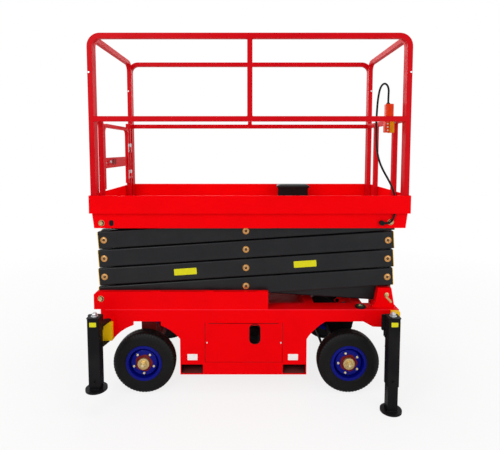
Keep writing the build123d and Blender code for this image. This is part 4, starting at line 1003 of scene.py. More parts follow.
FIXED_PIN = pivot_of("lift")
MIDDLE_PIN = pivot_of("outer_1_pivot")
STAGE_PITCH = 2 * (MIDDLE_PIN.z - FIXED_PIN.z)
ROLLING_X = 2 * MIDDLE_PIN.x - FIXED_PIN.x


def pins_of(stage, slope):
    """Rear, middle and front pin of a stage's arms; slope is 1 where the front end is the high one."""
    low = FIXED_PIN.z + (stage - 1) * STAGE_PITCH
    high = low + STAGE_PITCH
    rear = Vector((ROLLING_X, 0, low if slope > 0 else high))
    front = Vector((FIXED_PIN.x, 0, high if slope > 0 else low))
    return rear, (rear + front) / 2, front


class LIFT_OT_arm_ends(bpy.types.Operator):
    """Yellow plugs in the open ends of the arms"""

    bl_idname = "scissor_lift.arm_ends"
    bl_label = "Arm end plugs"

    def execute(self, context):
        size = (PLUG_THICKNESS, ARM_WIDTH - PLUG_GAP, ARM_HEIGHT - PLUG_GAP)
        pairs = (("outer", 1, OUTER_ARM_MIDDLE), ("inner", -1, INNER_ARM_MIDDLE))
        for stage in STAGES:
            for kind, slope, reach in pairs:
                body = f"{kind}_{stage}"
                rear, _, front = pins_of(stage, slope)
                along = (front - rear).normalized()
                turn = Matrix.Rotation(-math.atan2(along.z, along.x), 4, "Y")
                plugs = bmesh.new()
                for side in SIDES:
                    for pin, way in ((rear, -1), (front, 1)):
                        end = pin + along * (way * (ARM_OVERHANG + PLUG_LIFT))
                        add_block(plugs, end + outward(side) * reach, size, turn)
                finish_piece(plugs, body + "_end_plugs", body, "yellow", bevel=0.001)
        return {"FINISHED"}


def make_bush_faces(stage, face):
    """Ends of the bronze bushes, flush with the outer arms."""
    rings = bmesh.new()
    profile = [
        (BUSH_RADIUS * 0.80, -0.0025),
        (BUSH_RADIUS * 0.84, 0.0004),
        (BUSH_RADIUS * 0.95, 0.0009),
        (BUSH_RADIUS * 1.02, 0.0004),
        (BUSH_RADIUS * 1.02, -0.0025),
    ]
    for side in SIDES:
        out = outward(side)
        for pin in pins_of(stage, 1):
            add_lathe(rings, profile, pin + out * face, out, steps=40)
    finish_piece(rings, f"outer_{stage}_bush_faces", f"outer_{stage}", "bronze")


def make_pin_ends(stage, face):
    """Retaining rings, sunk faces darkened as painted shade of the pin holes, and grease nipples of the pins
    inside the bushes.
    """
    body = f"inner_{stage}"
    rings = bmesh.new()
    wells = bmesh.new()
    nipples = bmesh.new()
    ring_profile = [
        (JOURNAL_RADIUS * 0.97, 0.0),
        (JOURNAL_RADIUS * 0.97, 0.0030),
        (JOURNAL_RADIUS * 0.85, 0.0038),
        (JOURNAL_RADIUS * 0.60, 0.0038),
        (JOURNAL_RADIUS * 0.57, 0.0008),
    ]
    well_profile = [(JOURNAL_RADIUS * 0.58, 0.0), (JOURNAL_RADIUS * 0.58, 0.0007), (0.0, 0.0007)]
    # the fixed pins carry the pivot's keepers instead
    pins = [pin for pin in pins_of(stage, -1) if (pin - FIXED_PIN).length > JOURNAL_RADIUS]
    for side in SIDES:
        out = outward(side)
        for pin in pins:
            seat = pin + out * (face - PIN_SINK)
            add_lathe(rings, ring_profile, seat, out, steps=32)
            add_lathe(wells, well_profile, seat, out, steps=32)
            add_bolt(nipples, seat + out * 0.0006, out, NIPPLE, washer=False)
            add_rod(nipples, seat + out * 0.003, seat + out * 0.0065, 0.0016, 12, end_radius=0.0010)
    finish_piece(rings, body + "_pin_faces", body, "brass")
    finish_piece(wells, body + "_pin_hole_shades", body, "well")
    finish_piece(nipples, body + "_grease_nipples", body, "brass")


class LIFT_OT_pin_faces(bpy.types.Operator):
    """Bush faces, retaining rings, sunk pin ends and grease nipples of the scissor pins"""

    bl_idname = "scissor_lift.pin_faces"
    bl_label = "Pin faces"

    def execute(self, context):
        for stage in STAGES:
            face = box_of(f"bushes_{stage}")[1].y
            make_bush_faces(stage, face)
            make_pin_ends(stage, face)
        return {"FINISHED"}


class LIFT_OT_arm_labels(bpy.types.Operator):
    """Blank yellow labels on the second stage's outer arms"""

    bl_idname = "scissor_lift.arm_labels"
    bl_label = "Arm labels"

    def execute(self, context):
        outline = rounded_outline(context.scene.lift_fittings.label_length, ARM_LABEL_HEIGHT, 0.004)
        rear, _, front = pins_of(ARM_LABEL_STAGE, 1)
        along = (front - rear).normalized()
        face = box_of(f"outer_arms_{ARM_LABEL_STAGE}")[1].y
        labels = bmesh.new()
        for side in SIDES:
            out = outward(side)
            right = along * -side
            for place in ARM_LABEL_PLACES:
                centre = rear.lerp(front, (place - rear.x) / (front.x - rear.x)) + out * face
                add_prism(labels, outline, centre, right, out.cross(right), LABEL_THICKNESS)
        finish_piece(labels, "arm_labels", f"outer_{ARM_LABEL_STAGE}", "label_yellow")
        return {"FINISHED"}


# ------------------------------------------------------------------ chassis

STOP_BOLT = 0.024
STOP_BOLT_INSET = 0.046       # from the channel's rear end
STOP_BOLT_DROP = 0.010        # under the line of the fixed pins
CHANNEL_LUGS = (-0.60, -0.26, 0.07)
CHANNEL_LUG_SIZE = (0.060, 0.022, 0.005)
WELD_LENGTH = 0.05
WELD_PITCH = 0.16


class LIFT_OT_channel_stops(bpy.types.Operator):
    """Stop bolts with rings of painted shadow round their heads, top lugs and joining welds of the lower roller
    channels
    """

    bl_idname = "scissor_lift.channel_stops"
    bl_label = "Channel stops"

    def execute(self, context):
        low, high = box_of("roller_channels")
        web = high.y
        bolts = bmesh.new()
        shadow_rings = bmesh.new()
        lugs = bmesh.new()
        for side in SIDES:
            seat = (low.x + STOP_BOLT_INSET, side * web, FIXED_PIN.z - STOP_BOLT_DROP)
            add_bolt(bolts, seat, outward(side), STOP_BOLT)
            add_shadow_ring(shadow_rings, seat, outward(side), STOP_BOLT)
            for place in CHANNEL_LUGS:
                add_block(lugs, (place, side * (web - 0.012), high.z + 0.002), CHANNEL_LUG_SIZE)
        finish_piece(bolts, "channel_stop_bolts", "chassis", "gilt", bevel=0.0006)
        # the black rings round the bolt heads are painted shadow
        finish_piece(shadow_rings, "channel_bolt_shadows", "chassis", "rubber")
        finish_piece(lugs, "channel_top_lugs", "chassis", "red", bevel=0.0015)
        beads = bmesh.new()
        radius = context.scene.lift_fittings.bead_radius
        seam_z = box_of("chassis_frame")[1].z + 0.001
        for side in SIDES:
            start_x = low.x + 0.05
            while start_x < high.x - 0.06:
                start = Vector((start_x, side * web, seam_z))
                add_bead(beads, start, start + FORWARD * WELD_LENGTH, radius)
                start_x += WELD_PITCH
        finish_piece(beads, "channel_weld_beads", "chassis", "red", smooth_angle=60)
        return {"FINISHED"}


COVER_SCREW_HEIGHT = 0.131    # over the covers' lower edge
SEAM_THICKNESS = 0.0008
COVER_HINGE_INSET = 0.11      # from the covers' ends to the middle of a hinge
COVER_HINGE_HALF = FORWARD * 0.032
COVER_HINGE_RADIUS = 0.004
SLOT_SIZE = (0.068, 0.129)    # oval service slot in the covers
SLOT_CORNER = 0.030
EDGING_RADIUS = 0.0022
SLOT_X = 0.032
SLOT_Z = 0.400

# fork pockets: middle along the chassis, half width
FORK_POCKETS = ((-0.3715, 0.0695), (0.285, 0.073))
POCKET_Z = 0.1665
POCKET_HEIGHT = 0.0605
SHADE_SHEET = 0.001                # thickness of the dark sheets that paint the shade inside the fork pockets

BOX_LABEL = (0.064, 0.040)
BOX_LABEL_PLACES = (-0.3685, 0.277)
BOX_LABEL_Z = 0.246


def make_cover_screws(low, high, width):
    """Pale screws at the edges of the box covers."""
    screws = bmesh.new()
    for side in SIDES:
        for x in (low.x + 0.013, high.x - 0.011):
            seat = (x, side * high.y, low.z + COVER_SCREW_HEIGHT)
            add_bolt(screws, seat, outward(side), width, washer=False)
    finish_piece(screws, "cover_screws", "chassis", "pale", bevel=0.0004)


def make_cover_seams(low, high, seam):
    """Dark joints round the box covers."""
    seams = bmesh.new()
    middle = (low + high) / 2
    length = high.x - low.x
    for side in SIDES:
        y = side * high.y
        for x in (low.x + seam / 2, high.x - seam / 2):
            add_block(seams, (x, y, middle.z), (seam, SEAM_THICKNESS, high.z - low.z))
        add_block(seams, (middle.x, y, low.z + seam / 2), (length, SEAM_THICKNESS, seam * 0.6))
        top = (middle.x, y, high.z - seam * 1.5)
        add_block(seams, top, (length - 0.050, SEAM_THICKNESS, seam * 1.8))
    finish_piece(seams, "cover_seams", "chassis", "seam")


def make_rail_highlights(height):
    """Bright strips along the tops of the chassis rails, between the leg blocks: a painted highlight on the rails'
    top edges.
    """
    edges = bmesh.new()
    rail_high = box_of("chassis_frame")[1]
    length = 2 * box_of("leg_blocks")[1].x - 0.050
    for side in SIDES:
        place = (-0.012, side * (rail_high.y - 0.001), rail_high.z - height / 2 + 0.0004)
        add_block(edges, place, (length, 0.003, height))
    finish_piece(edges, "rail_highlights", "chassis", "edge")


def make_cover_hinges(low, high):
    """Round hinge barrels along the tops of the box covers."""
    hinges = bmesh.new()
    for side in SIDES:
        for x in (low.x + COVER_HINGE_INSET, high.x - COVER_HINGE_INSET):
            middle = Vector((x, side * (high.y - 0.001), high.z + 0.001))
            add_rod(hinges, middle - COVER_HINGE_HALF, middle + COVER_HINGE_HALF, COVER_HINGE_RADIUS, 16)
    finish_piece(hinges, "cover_hinges", "chassis", "red", bevel=0.0006)


def make_slot_edging(face):
    """Rubber edging of the oval slots in the box covers."""
    edging = bmesh.new()
    outline = rounded_outline(*SLOT_SIZE, SLOT_CORNER, steps=10)
    for side in SIDES:
        add_outline_bead(edging, (SLOT_X, side * face, SLOT_Z), outline, EDGING_RADIUS)
    finish_piece(edging, "slot_edging", "chassis", "rubber", smooth_angle=60)


def make_pocket_shade():
    """Dark sheets on the walls and roofs and darkened floors inside the fork pockets: painted shade."""
    shade_sheets = bmesh.new()
    floors = bmesh.new()
    half_height = POCKET_HEIGHT / 2 - 0.00035
    for middle, half in FORK_POCKETS:
        for end in ENDS:
            wall = (middle + end * (half - 0.0006), 0, POCKET_Z)
            add_block(shade_sheets, wall, (SHADE_SHEET, 0.870, POCKET_HEIGHT))
        add_block(shade_sheets, (middle, 0, POCKET_Z + half_height), (2 * half - 0.002, 0.870, SHADE_SHEET))
        add_block(floors, (middle, 0, POCKET_Z - half_height), (2 * half - 0.002, 0.880, SHADE_SHEET))
    # the black sheets and the dark floors are painted shade
    finish_piece(shade_sheets, "pocket_shade_sheets", "chassis", "black")
    finish_piece(floors, "pocket_shaded_floors", "chassis", "pocket")


def make_box_labels(face):
    """Blank white labels over the fork pockets."""
    labels = bmesh.new()
    outline = rounded_outline(*BOX_LABEL, 0.003)
    for side in SIDES:
        for x in BOX_LABEL_PLACES:
            spot = (x, side * face, BOX_LABEL_Z)
            add_prism(labels, outline, spot, reading_way(side), UP, LABEL_THICKNESS)
    finish_piece(labels, "box_labels", "chassis", "label_white")


class LIFT_OT_box_fittings(bpy.types.Operator):
    """Small fittings of the power box and its covers, and the painted highlights along the rails over it"""

    bl_idname = "scissor_lift.box_fittings"
    bl_label = "Box fittings"

    def execute(self, context):
        fittings = context.scene.lift_fittings
        low, high = box_of("box_covers")
        make_cover_screws(low, high, fittings.cover_screw)
        make_cover_seams(low, high, fittings.seam_width)
        make_rail_highlights(fittings.rail_highlight)
        make_cover_hinges(low, high)
        make_slot_edging(high.y)
        make_pocket_shade()
        make_box_labels(box_of("power_box")[1].y)
        return {"FINISHED"}


LEVEL_X = 0.7135
LEVEL_Y = -0.405

# pieces of the spirit level: name, finish, slot, steps, how far off the middle, profile
LEVEL_PIECES = (
    (
        "level_ring", "dark_plastic", "black_rubber", 40, (0, 0, 0),
        [(0.0, 0.0), (0.034, 0.0), (0.034, 0.010), (0.031, 0.013), (0.026, 0.013), (0.025, 0.010)],
    ),
    (
        "level_glass", "green", "black_rubber", 32, (0, 0, 0),
        [(0.0255, 0.0095), (0.022, 0.0125), (0.012, 0.0145), (0.0, 0.0150)],
    ),
    (
        "level_mark", "zinc", "zinc", 32, (0, 0, 0),
        [(0.010, 0.0143), (0.011, 0.0155), (0.012, 0.0143)],
    ),
    (
        "level_bubble", "label_yellow", "black_rubber", 20, (-0.006, -0.004, 0),
        [(0.0055, 0.0146), (0.004, 0.0160), (0.0, 0.0163)],
    ),
)


class LIFT_OT_level(bpy.types.Operator):
    """Round spirit level on the right rail"""

    bl_idname = "scissor_lift.level"
    bl_label = "Spirit level"

    def execute(self, context):
        centre = Vector((LEVEL_X, LEVEL_Y, box_of("chassis_frame")[1].z))
        for name, finish, slot, steps, offset, profile in LEVEL_PIECES:
            shape = bmesh.new()
            add_lathe(shape, profile, centre + Vector(offset), UP, steps)
            finish_piece(shape, name, "chassis", finish)
        return {"FINISHED"}


KEEPER_BAR = (0.052, 0.003, 0.013)
KEEPER_LEAN = math.radians(46)
KEEPER_BOLT = 0.010


class LIFT_OT_pivot_fittings(bpy.types.Operator):
    """Pin heads, keeper bars and bolts of the fixed pivots"""

    bl_idname = "scissor_lift.pivot_fittings"
    bl_label = "Pivot fittings"

    def execute(self, context):
        face = box_of("pivot_brackets")[1].y
        lean = Matrix.Rotation(KEEPER_LEAN, 4, "Y")
        keepers = bmesh.new()
        edge = JOURNAL_RADIUS * 0.97
        for side in SIDES:
            out = outward(side)
            pin = Vector((FIXED_PIN.x, side * face, FIXED_PIN.z))
            profile = [(edge, -0.001), (edge, 0.002), (0.010, 0.0034), (0.0, 0.0034)]
            add_lathe(keepers, profile, pin, out, steps=32)
            add_block(keepers, pin + Vector((0.012, side * 0.0015, -0.028)), KEEPER_BAR, lean)
            add_bolt(keepers, pin + Vector((0.026, side * 0.003, -0.044)), out, KEEPER_BOLT)
        finish_piece(keepers, "pivot_keepers", "chassis", "gilt", bevel=0.0005)
        return {"FINISHED"}


KINGPIN_NUT = 0.022
TIE_ROD_NUT = 0.018
TIE_ROD_END = 0.017           # from the rod's end to its pin


class LIFT_OT_axle_fittings(bpy.types.Operator):
    """Kingpin nuts and tie rod nuts of the steered axle"""

    bl_idname = "scissor_lift.axle_fittings"
    bl_label = "Axle fittings"

    def execute(self, context):
        for side_name, joint in (("right", "steer"), ("left", "steer_left")):
            body = "knuckle_" + side_name
            kingpin = pivot_of(joint)
            low, high = box_of(body)
            nuts = bmesh.new()
            add_bolt(nuts, (kingpin.x, kingpin.y, high.z), UP, KINGPIN_NUT)
            add_bolt(nuts, (kingpin.x, kingpin.y, low.z), -UP, KINGPIN_NUT)
            finish_piece(nuts, "kingpin_nuts_" + side_name, body, "zinc", bevel=0.0005)
        low, high = box_of("tie_rod")
        nuts = bmesh.new()
        for side in SIDES:
            seat = ((low.x + high.x) / 2, side * (high.y - TIE_ROD_END), low.z)
            add_bolt(nuts, seat, -UP, TIE_ROD_NUT)
        finish_piece(nuts, "tie_rod_nuts", "tie_rod", "zinc", bevel=0.0005)
        return {"FINISHED"}


# ---------------------------------------------------------- stabiliser legs

ROOT_LENGTH = 0.080
ROOT_WIDTH = 0.056
ROOT_SKIN = 0.0006            # how much longer and higher a root's painted skin is than its block

# block roots: end of the chassis, name, finish, slot
BLOCK_ROOTS = (
    (-1, "rear", "red", "red_paint"),
    (1, "front", "black", "black_steel"),
)

LEG_TOP_DROP = 0.014          # from the highest point of a leg's solid down to its cap
CAP_WIDTH = 0.077
CAP_THICKNESS = 0.005
JACK_NUT = 0.030
LEG_LABEL = (0.040, 0.027)
LEG_LABEL_DROP = 0.034        # from the cap down to the label's middle
LOCK_PIN_HEIGHT = 0.030       # over the upper tube's lower end
LOCK_PIN_ROOT = 0.036         # from the leg's middle to where a pin's end comes out
LOCK_PIN_LENGTH = 0.009
FOOT_WELD_REACH = 0.0305      # from the leg's middle to the bead round its lower tube
FOOT_WELD_HEIGHT = 0.0125     # over the foot's underside
PIVOT_HEAD_SIZE = (0.050, 0.036, 0.056)
PIVOT_HEAD_Z = 0.5425


class LIFT_OT_block_roots(bpy.types.Operator):
    """Painted roots of the legs' pivot blocks, where they meet the chassis"""

    bl_idname = "scissor_lift.block_roots"
    bl_label = "Block roots"

    def execute(self, context):
        low, high = box_of("leg_blocks")
        middle_y = box_of("chassis_frame")[1].y + ROOT_WIDTH / 2
        size = (ROOT_LENGTH + ROOT_SKIN, ROOT_WIDTH, high.z - low.z + ROOT_SKIN)
        for end, name, finish, slot in BLOCK_ROOTS:
            roots = bmesh.new()
            for side in SIDES:
                centre = (end * (high.x - ROOT_LENGTH / 2), side * middle_y, (low.z + high.z) / 2)
                add_block(roots, centre, size)
            finish_piece(roots, "block_roots_" + name, "chassis", finish)
        return {"FINISHED"}


def make_jack_screw(top, body, corner):
    """Plated washer, nut and screw end on a leg's top."""
    screw = bmesh.new()
    profile = [
        (0.0, 0.0045),
        (0.021, 0.0045),
        (0.021, 0.0075),
        (0.0108, 0.0075),
        (0.0108, 0.026),
        (0.0085, 0.028),
        (0.0, 0.028),
    ]
    add_lathe(screw, profile, top, UP, steps=32)
    add_bolt(screw, top + UP * 0.0075, UP, JACK_NUT, washer=False)
    finish_piece(screw, "jack_screw_" + corner, body, "zinc", bevel=0.0004)


def make_leg_cap(top, body, corner):
    """Plate that closes a leg's top."""
    cap = bmesh.new()
    outline = rounded_outline(CAP_WIDTH, CAP_WIDTH, 0.008)
    add_prism(cap, outline, top, FORWARD, LEFTWARD, CAP_THICKNESS)
    finish_piece(cap, "leg_cap_" + corner, body, "black", bevel=0.001)


def make_leg_label(top, side, body, corner):
    """Blank yellow marker on a leg's outer face."""
    label = bmesh.new()
    spot = top + outward(side) * 0.035 - UP * LEG_LABEL_DROP
    add_prism(label, rounded_outline(*LEG_LABEL, 0.003), spot, reading_way(side), UP, 0.0005)
    finish_piece(label, "leg_label_" + corner, body, "label_yellow")


def make_pivot_head(side, body, corner):
    """Yellow head of a front leg's pivot."""
    head = bmesh.new()
    pivot = pivot_of(body)
    add_block(head, (pivot.x + 0.014, pivot.y + side * 0.002, PIVOT_HEAD_Z), PIVOT_HEAD_SIZE)
    finish_piece(head, "pivot_head_" + corner, body, "yellow", bevel=0.002)


def make_lock_pin(middle, body, corner):
    """Ends of the pin that locks a leg's lower tube."""
    pin = bmesh.new()
    z = box_of("leg_outer_" + corner)[0].z + LOCK_PIN_HEIGHT
    for side in SIDES:
        root = Vector((middle.x, middle.y + side * LOCK_PIN_ROOT, z))
        add_rod(pin, root, root + outward(side) * LOCK_PIN_LENGTH, 0.007, 16)
    finish_piece(pin, "leg_lock_pin_" + corner, body, "black", bevel=0.0008)


def make_foot_weld(middle, corner):
    """Weld bead round the lower tube on its foot plate."""
    weld = bmesh.new()
    z = box_of("leg_inner_" + corner)[0].z + FOOT_WELD_HEIGHT
    reach = FOOT_WELD_REACH
    ways = ((-1, -1), (1, -1), (1, 1), (-1, 1))
    corners = [Vector((middle.x + x * reach, middle.y + y * reach, z)) for x, y in ways]
    for start, end in zip(corners, corners[1:] + corners[:1]):
        add_bead(weld, start, end, 0.003)
    body = "leg_slide_" + corner
    finish_piece(weld, "foot_weld_" + corner, body, "black", smooth_angle=60)


class LIFT_OT_leg_fittings(bpy.types.Operator):
    """Jack screws, caps, blank markers, pivot heads, lock pins and foot welds of the legs"""

    bl_idname = "scissor_lift.leg_fittings"
    bl_label = "Leg fittings"

    def execute(self, context):
        for corner in CORNERS:
            side = side_of(corner)
            body = "leg_swing_" + corner
            middle = middle_of("leg_inner_" + corner)
            top = Vector((middle.x, middle.y, box_of("leg_outer_" + corner)[1].z - LEG_TOP_DROP))
            make_jack_screw(top, body, corner)
            make_leg_cap(top, body, corner)
            make_leg_label(top, side, body, corner)
            if corner.startswith("front"):
                make_pivot_head(side, body, corner)
            make_lock_pin(middle, body, corner)
            make_foot_weld(middle, corner)
        return {"FINISHED"}


# ------------------------------------------------------------------ platform

SKIRT_BOLTS = ((-0.933, 1.114), (0.885, 1.121))
SKIRT_PLUG_SIZE = (0.028, 0.038)
SKIRT_PLUG_X = -0.871
SKIRT_PLUG_Z = 1.114


class LIFT_OT_skirt_bolts(bpy.types.Operator):
    """Plated bolts with rings of painted shadow round their heads, and the rubber plugs of the platform skirt's
    service holes
    """

    bl_idname = "scissor_lift.skirt_bolts"
    bl_label = "Skirt bolts"

    def execute(self, context):
        width = context.scene.lift_fittings.skirt_bolt
        face = box_of("platform_frame")[1].y
        plug_outline = rounded_outline(*SKIRT_PLUG_SIZE, 0.0125, steps=8)
        bolts = bmesh.new()
        shadow_rings = bmesh.new()
        plugs = bmesh.new()
        for side in SIDES:
            for x, z in SKIRT_BOLTS:
                add_bolt(bolts, (x, side * face, z), outward(side), width)
                add_shadow_ring(shadow_rings, (x, side * face, z), outward(side), width)
            spot = (SKIRT_PLUG_X, side * face, SKIRT_PLUG_Z)
            add_prism(plugs, plug_outline, spot, reading_way(side), UP, 0.0008)
        finish_piece(bolts, "skirt_bolts", "platform", "gilt", bevel=0.0006)
        # the black rings round the bolt heads are painted shadow
        finish_piece(shadow_rings, "skirt_bolt_shadows", "platform", "rubber")
        finish_piece(plugs, "skirt_plugs", "platform", "rubber")
        return {"FINISHED"}


RAIL_TUBE = 0.032
RAIL_BOLT_Z = 2.045
MIDDLE_RAIL_TOP = 1.780


class LIFT_OT_rail_fittings(bpy.types.Operator):
    """Bolts of the corner posts and weld beads of the rails"""

    bl_idname = "scissor_lift.rail_fittings"
    bl_label = "Rail fittings"

    def execute(self, context):
        fittings = context.scene.lift_fittings
        right_low, right_high = box_of("guard_right")
        left_low, left_high = box_of("guard_left")
        front_low, front_high = box_of("guard_front")
        bolts = bmesh.new()
        for end in ENDS:
            for side in SIDES:
                spot = Vector((end * (front_low.x + RAIL_TUBE / 2 + 0.007), side * left_high.y, RAIL_BOLT_Z))
                add_bolt(bolts, spot, outward(side), fittings.rail_bolt, washer=False)
                spot.y = side * (front_high.y - RAIL_TUBE)
                add_bolt(bolts, spot, outward(-side), fittings.rail_bolt, washer=False)
        finish_piece(bolts, "rail_bolts", "platform", "zinc", bevel=0.0004)
        beads = bmesh.new()
        middle_rail = (MIDDLE_RAIL_TOP, MIDDLE_RAIL_TOP - RAIL_TUBE)
        post_ends = (MIDDLE_RAIL_TOP, right_high.z - RAIL_TUBE)
        joints = ((front_low.x, middle_rail), (RAIL_TUBE / 2, post_ends))
        for low_y, high_y in ((right_low.y, right_high.y), (left_low.y, left_high.y)):
            for reach, heights in joints:
                for end in ENDS:
                    for z in heights:
                        start = Vector((end * reach, low_y + 0.004, z))
                        add_bead(beads, start, (start.x, high_y - 0.004, z), fittings.bead_radius)
        # the weld beads take the rails' darkened red, a painted shade
        finish_piece(beads, "rail_welds", "platform", "rail", smooth_angle=60)
        return {"FINISHED"}


GATE_TUBE = 0.025
HINGE_INSET = 0.035           # from the ends of the hinge pair to the middle of each hinge
HINGE_SCREWS = (-0.022, 0.022)
HINGE_SCREW = 0.009
LEAF_SIZE = (0.003, 0.029, 0.068)
LATCH_Z = 1.484
MIDDLE_BAR_Z = 1.490
LATCH_SCREW_Y = -0.155
LATCH_SLOTS = (-0.092, -0.036)


def make_hinges(face, hinge_side):
    """Screws and plated leaves of the gate's two hinges."""
    low, high = box_of("gate_hinges")
    screws = bmesh.new()
    leaves = bmesh.new()
    for z in (low.z + HINGE_INSET, high.z - HINGE_INSET):
        add_block(leaves, (face + LEAF_SIZE[0] / 2, hinge_side - 0.024, z), LEAF_SIZE)
        for lift in HINGE_SCREWS:
            post_seat = (high.x - 0.0065, high.y - 0.010, z + lift)
            add_bolt(screws, post_seat, FORWARD, HINGE_SCREW, washer=False)
            gate_seat = (face + LEAF_SIZE[0], hinge_side - 0.028, z + lift)
            add_bolt(leaves, gate_seat, FORWARD, HINGE_SCREW, washer=False)
    finish_piece(screws, "hinge_screws", "platform", "zinc", bevel=0.0003)
    finish_piece(leaves, "hinge_leaves", "gate", "zinc", bevel=0.0004)


def make_latch(face, x, y):
    """Sliding latch bolt with its knob, and the screw head on the gate's middle bar."""
    latch = bmesh.new()
    add_rod(latch, (x, y + 0.030, LATCH_Z), (x, y + 0.075, LATCH_Z), 0.006, 20)
    add_rod(latch, (x, y + 0.062, LATCH_Z), (x - 0.008, y + 0.062, LATCH_Z), 0.004, 16)
    add_bolt(latch, (face, LATCH_SCREW_Y, MIDDLE_BAR_Z), FORWARD, 0.018, washer=False)
    finish_piece(latch, "gate_latch", "gate", "zinc", bevel=0.0005)


def make_latch_slots(face):
    """Dark oval sheets on the gate's middle bar that paint the shade inside its slots."""
    slots = bmesh.new()
    outline = rounded_outline(0.018, 0.040, 0.008, steps=6)
    for y in LATCH_SLOTS:
        add_prism(slots, outline, (face, y, MIDDLE_BAR_Z), LEFTWARD, UP, 0.0006)
    # the black sheets are painted shade of the slots
    finish_piece(slots, "latch_slots", "gate", "rubber")


class LIFT_OT_gate_fittings(bpy.types.Operator):
    """Plated hinge leaves, screws, latch bolt and latch slots of the gate"""

    bl_idname = "scissor_lift.gate_fittings"
    bl_label = "Gate fittings"

    def execute(self, context):
        low, high = box_of("gate")
        face = low.x + GATE_TUBE
        make_hinges(face, high.y)
        make_latch(face, low.x + 0.010, low.y)
        make_latch_slots(face)
        return {"FINISHED"}


CASE_LENGTH = 0.060
SPLIT_HEIGHT = 0.091          # of the step in the handset's case over its lower end
BUTTON_ROWS = 4
BUTTON_PITCH = 0.021
BUTTON_DROP = 0.012           # of the first button under the step
HOOK_CLEARANCE = 0.0003       # between the hook and the rail that it hangs on
HOOK_WIDTH = 0.036
HOOK_HEIGHT = 0.037
LIP_THICKNESS = 0.005


def make_case(low, high, middle, split):
    """Orange case of the handset, wide above and narrow below, and the amber front beside it."""
    depth = high.y - low.y
    case = bmesh.new()
    upper = rounded_outline(CASE_LENGTH - 0.010, depth - 0.008, 0.010)
    add_prism(case, upper, (middle.x, middle.y, split), FORWARD, LEFTWARD, high.z - 0.009 - split)
    lower = rounded_outline(CASE_LENGTH * 0.46, depth - 0.010, 0.006)
    lower_foot = (low.x + CASE_LENGTH * 0.25, middle.y, low.z + 0.002)
    add_prism(case, lower, lower_foot, FORWARD, LEFTWARD, split - low.z)
    body = finish_piece(case, "handset_case", "platform", "orange", bevel=0.004)
    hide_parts("handset")
    amber = bmesh.new()
    front = rounded_outline(CASE_LENGTH * 0.50, depth - 0.002, 0.006)
    front_foot = (low.x + CASE_LENGTH * 0.74, middle.y, low.z)
    add_prism(amber, front, front_foot, FORWARD, LEFTWARD, split - low.z)
    finish_piece(amber, "handset_front", "platform", "amber", bevel=0.003)


def make_buttons(low, split):
    """A row of pale push buttons down the handset's lower half."""
    buttons = bmesh.new()
    profile = [(0.0055, 0.0), (0.0055, 0.0032), (0.0045, 0.0038), (0.0, 0.0038)]
    for row in range(BUTTON_ROWS):
        z = split - BUTTON_DROP - row * BUTTON_PITCH
        centre = (low.x + CASE_LENGTH * 0.25, low.y + 0.004, z)
        add_lathe(buttons, profile, centre, -LEFTWARD, steps=20)
    finish_piece(buttons, "handset_buttons", "platform", "pale")


def make_hook(low, high, middle):
    """Plated hook that hangs the handset on the front rail."""
    hook = bmesh.new()
    rail_x = box_of("guard_front")[0].x - HOOK_CLEARANCE
    rail_z = MIDDLE_RAIL_TOP + HOOK_CLEARANCE
    back = low.x + CASE_LENGTH - 0.005
    nose = high.x - 0.0001
    plate = ((back + rail_x) / 2, middle.y, rail_z - 0.014)
    add_block(hook, plate, (rail_x - back, HOOK_WIDTH, HOOK_HEIGHT))
    lip = ((back + nose) / 2, middle.y, rail_z + LIP_THICKNESS / 2)
    add_block(hook, lip, (nose - back, HOOK_WIDTH, LIP_THICKNESS))
    finish_piece(hook, "handset_hook", "platform", "zinc", bevel=0.0008)


def make_gland(high, middle):
    """Rubber gland where the cable leaves the handset."""
    gland = bmesh.new()
    profile = [
        (0.013, -0.012),
        (0.013, -0.006),
        (0.0115, -0.005),
        (0.0105, -0.001),
        (0.0085, 0.0),
        (0.0, 0.0),
    ]
    add_lathe(gland, profile, (CABLE_ROUTE[0][0], middle.y, high.z), UP, steps=28)
    finish_piece(gland, "handset_gland", "platform", "rubber")


class LIFT_OT_handset(bpy.types.Operator):
    """Handset with its case halves, buttons, amber front, hanging hook and gland"""

    bl_idname = "scissor_lift.handset"
    bl_label = "Handset"

    def execute(self, context):
        low, high = box_of("handset")
        middle = Vector((low.x + CASE_LENGTH / 2, (low.y + high.y) / 2, (low.z + high.z) / 2))
        split = low.z + SPLIT_HEIGHT
        make_case(low, high, middle, split)
        make_buttons(low, split)
        make_hook(low, high, middle)
        make_gland(high, middle)
        return {"FINISHED"}


LID_HEIGHT = 0.028
LID_CORNER = 0.014
SHELL_INSET = 0.010           # of the box's walls under the lid's edge
CLASP_SIZE = (0.030, 0.006, 0.026)

# layers of the domed lid: inset from the box's outline, height over the rim
LID_LAYERS = ((0.0, 0.0), (0.0, 0.014), (0.006, 0.021), (0.018, 0.0255), (0.040, 0.0275))


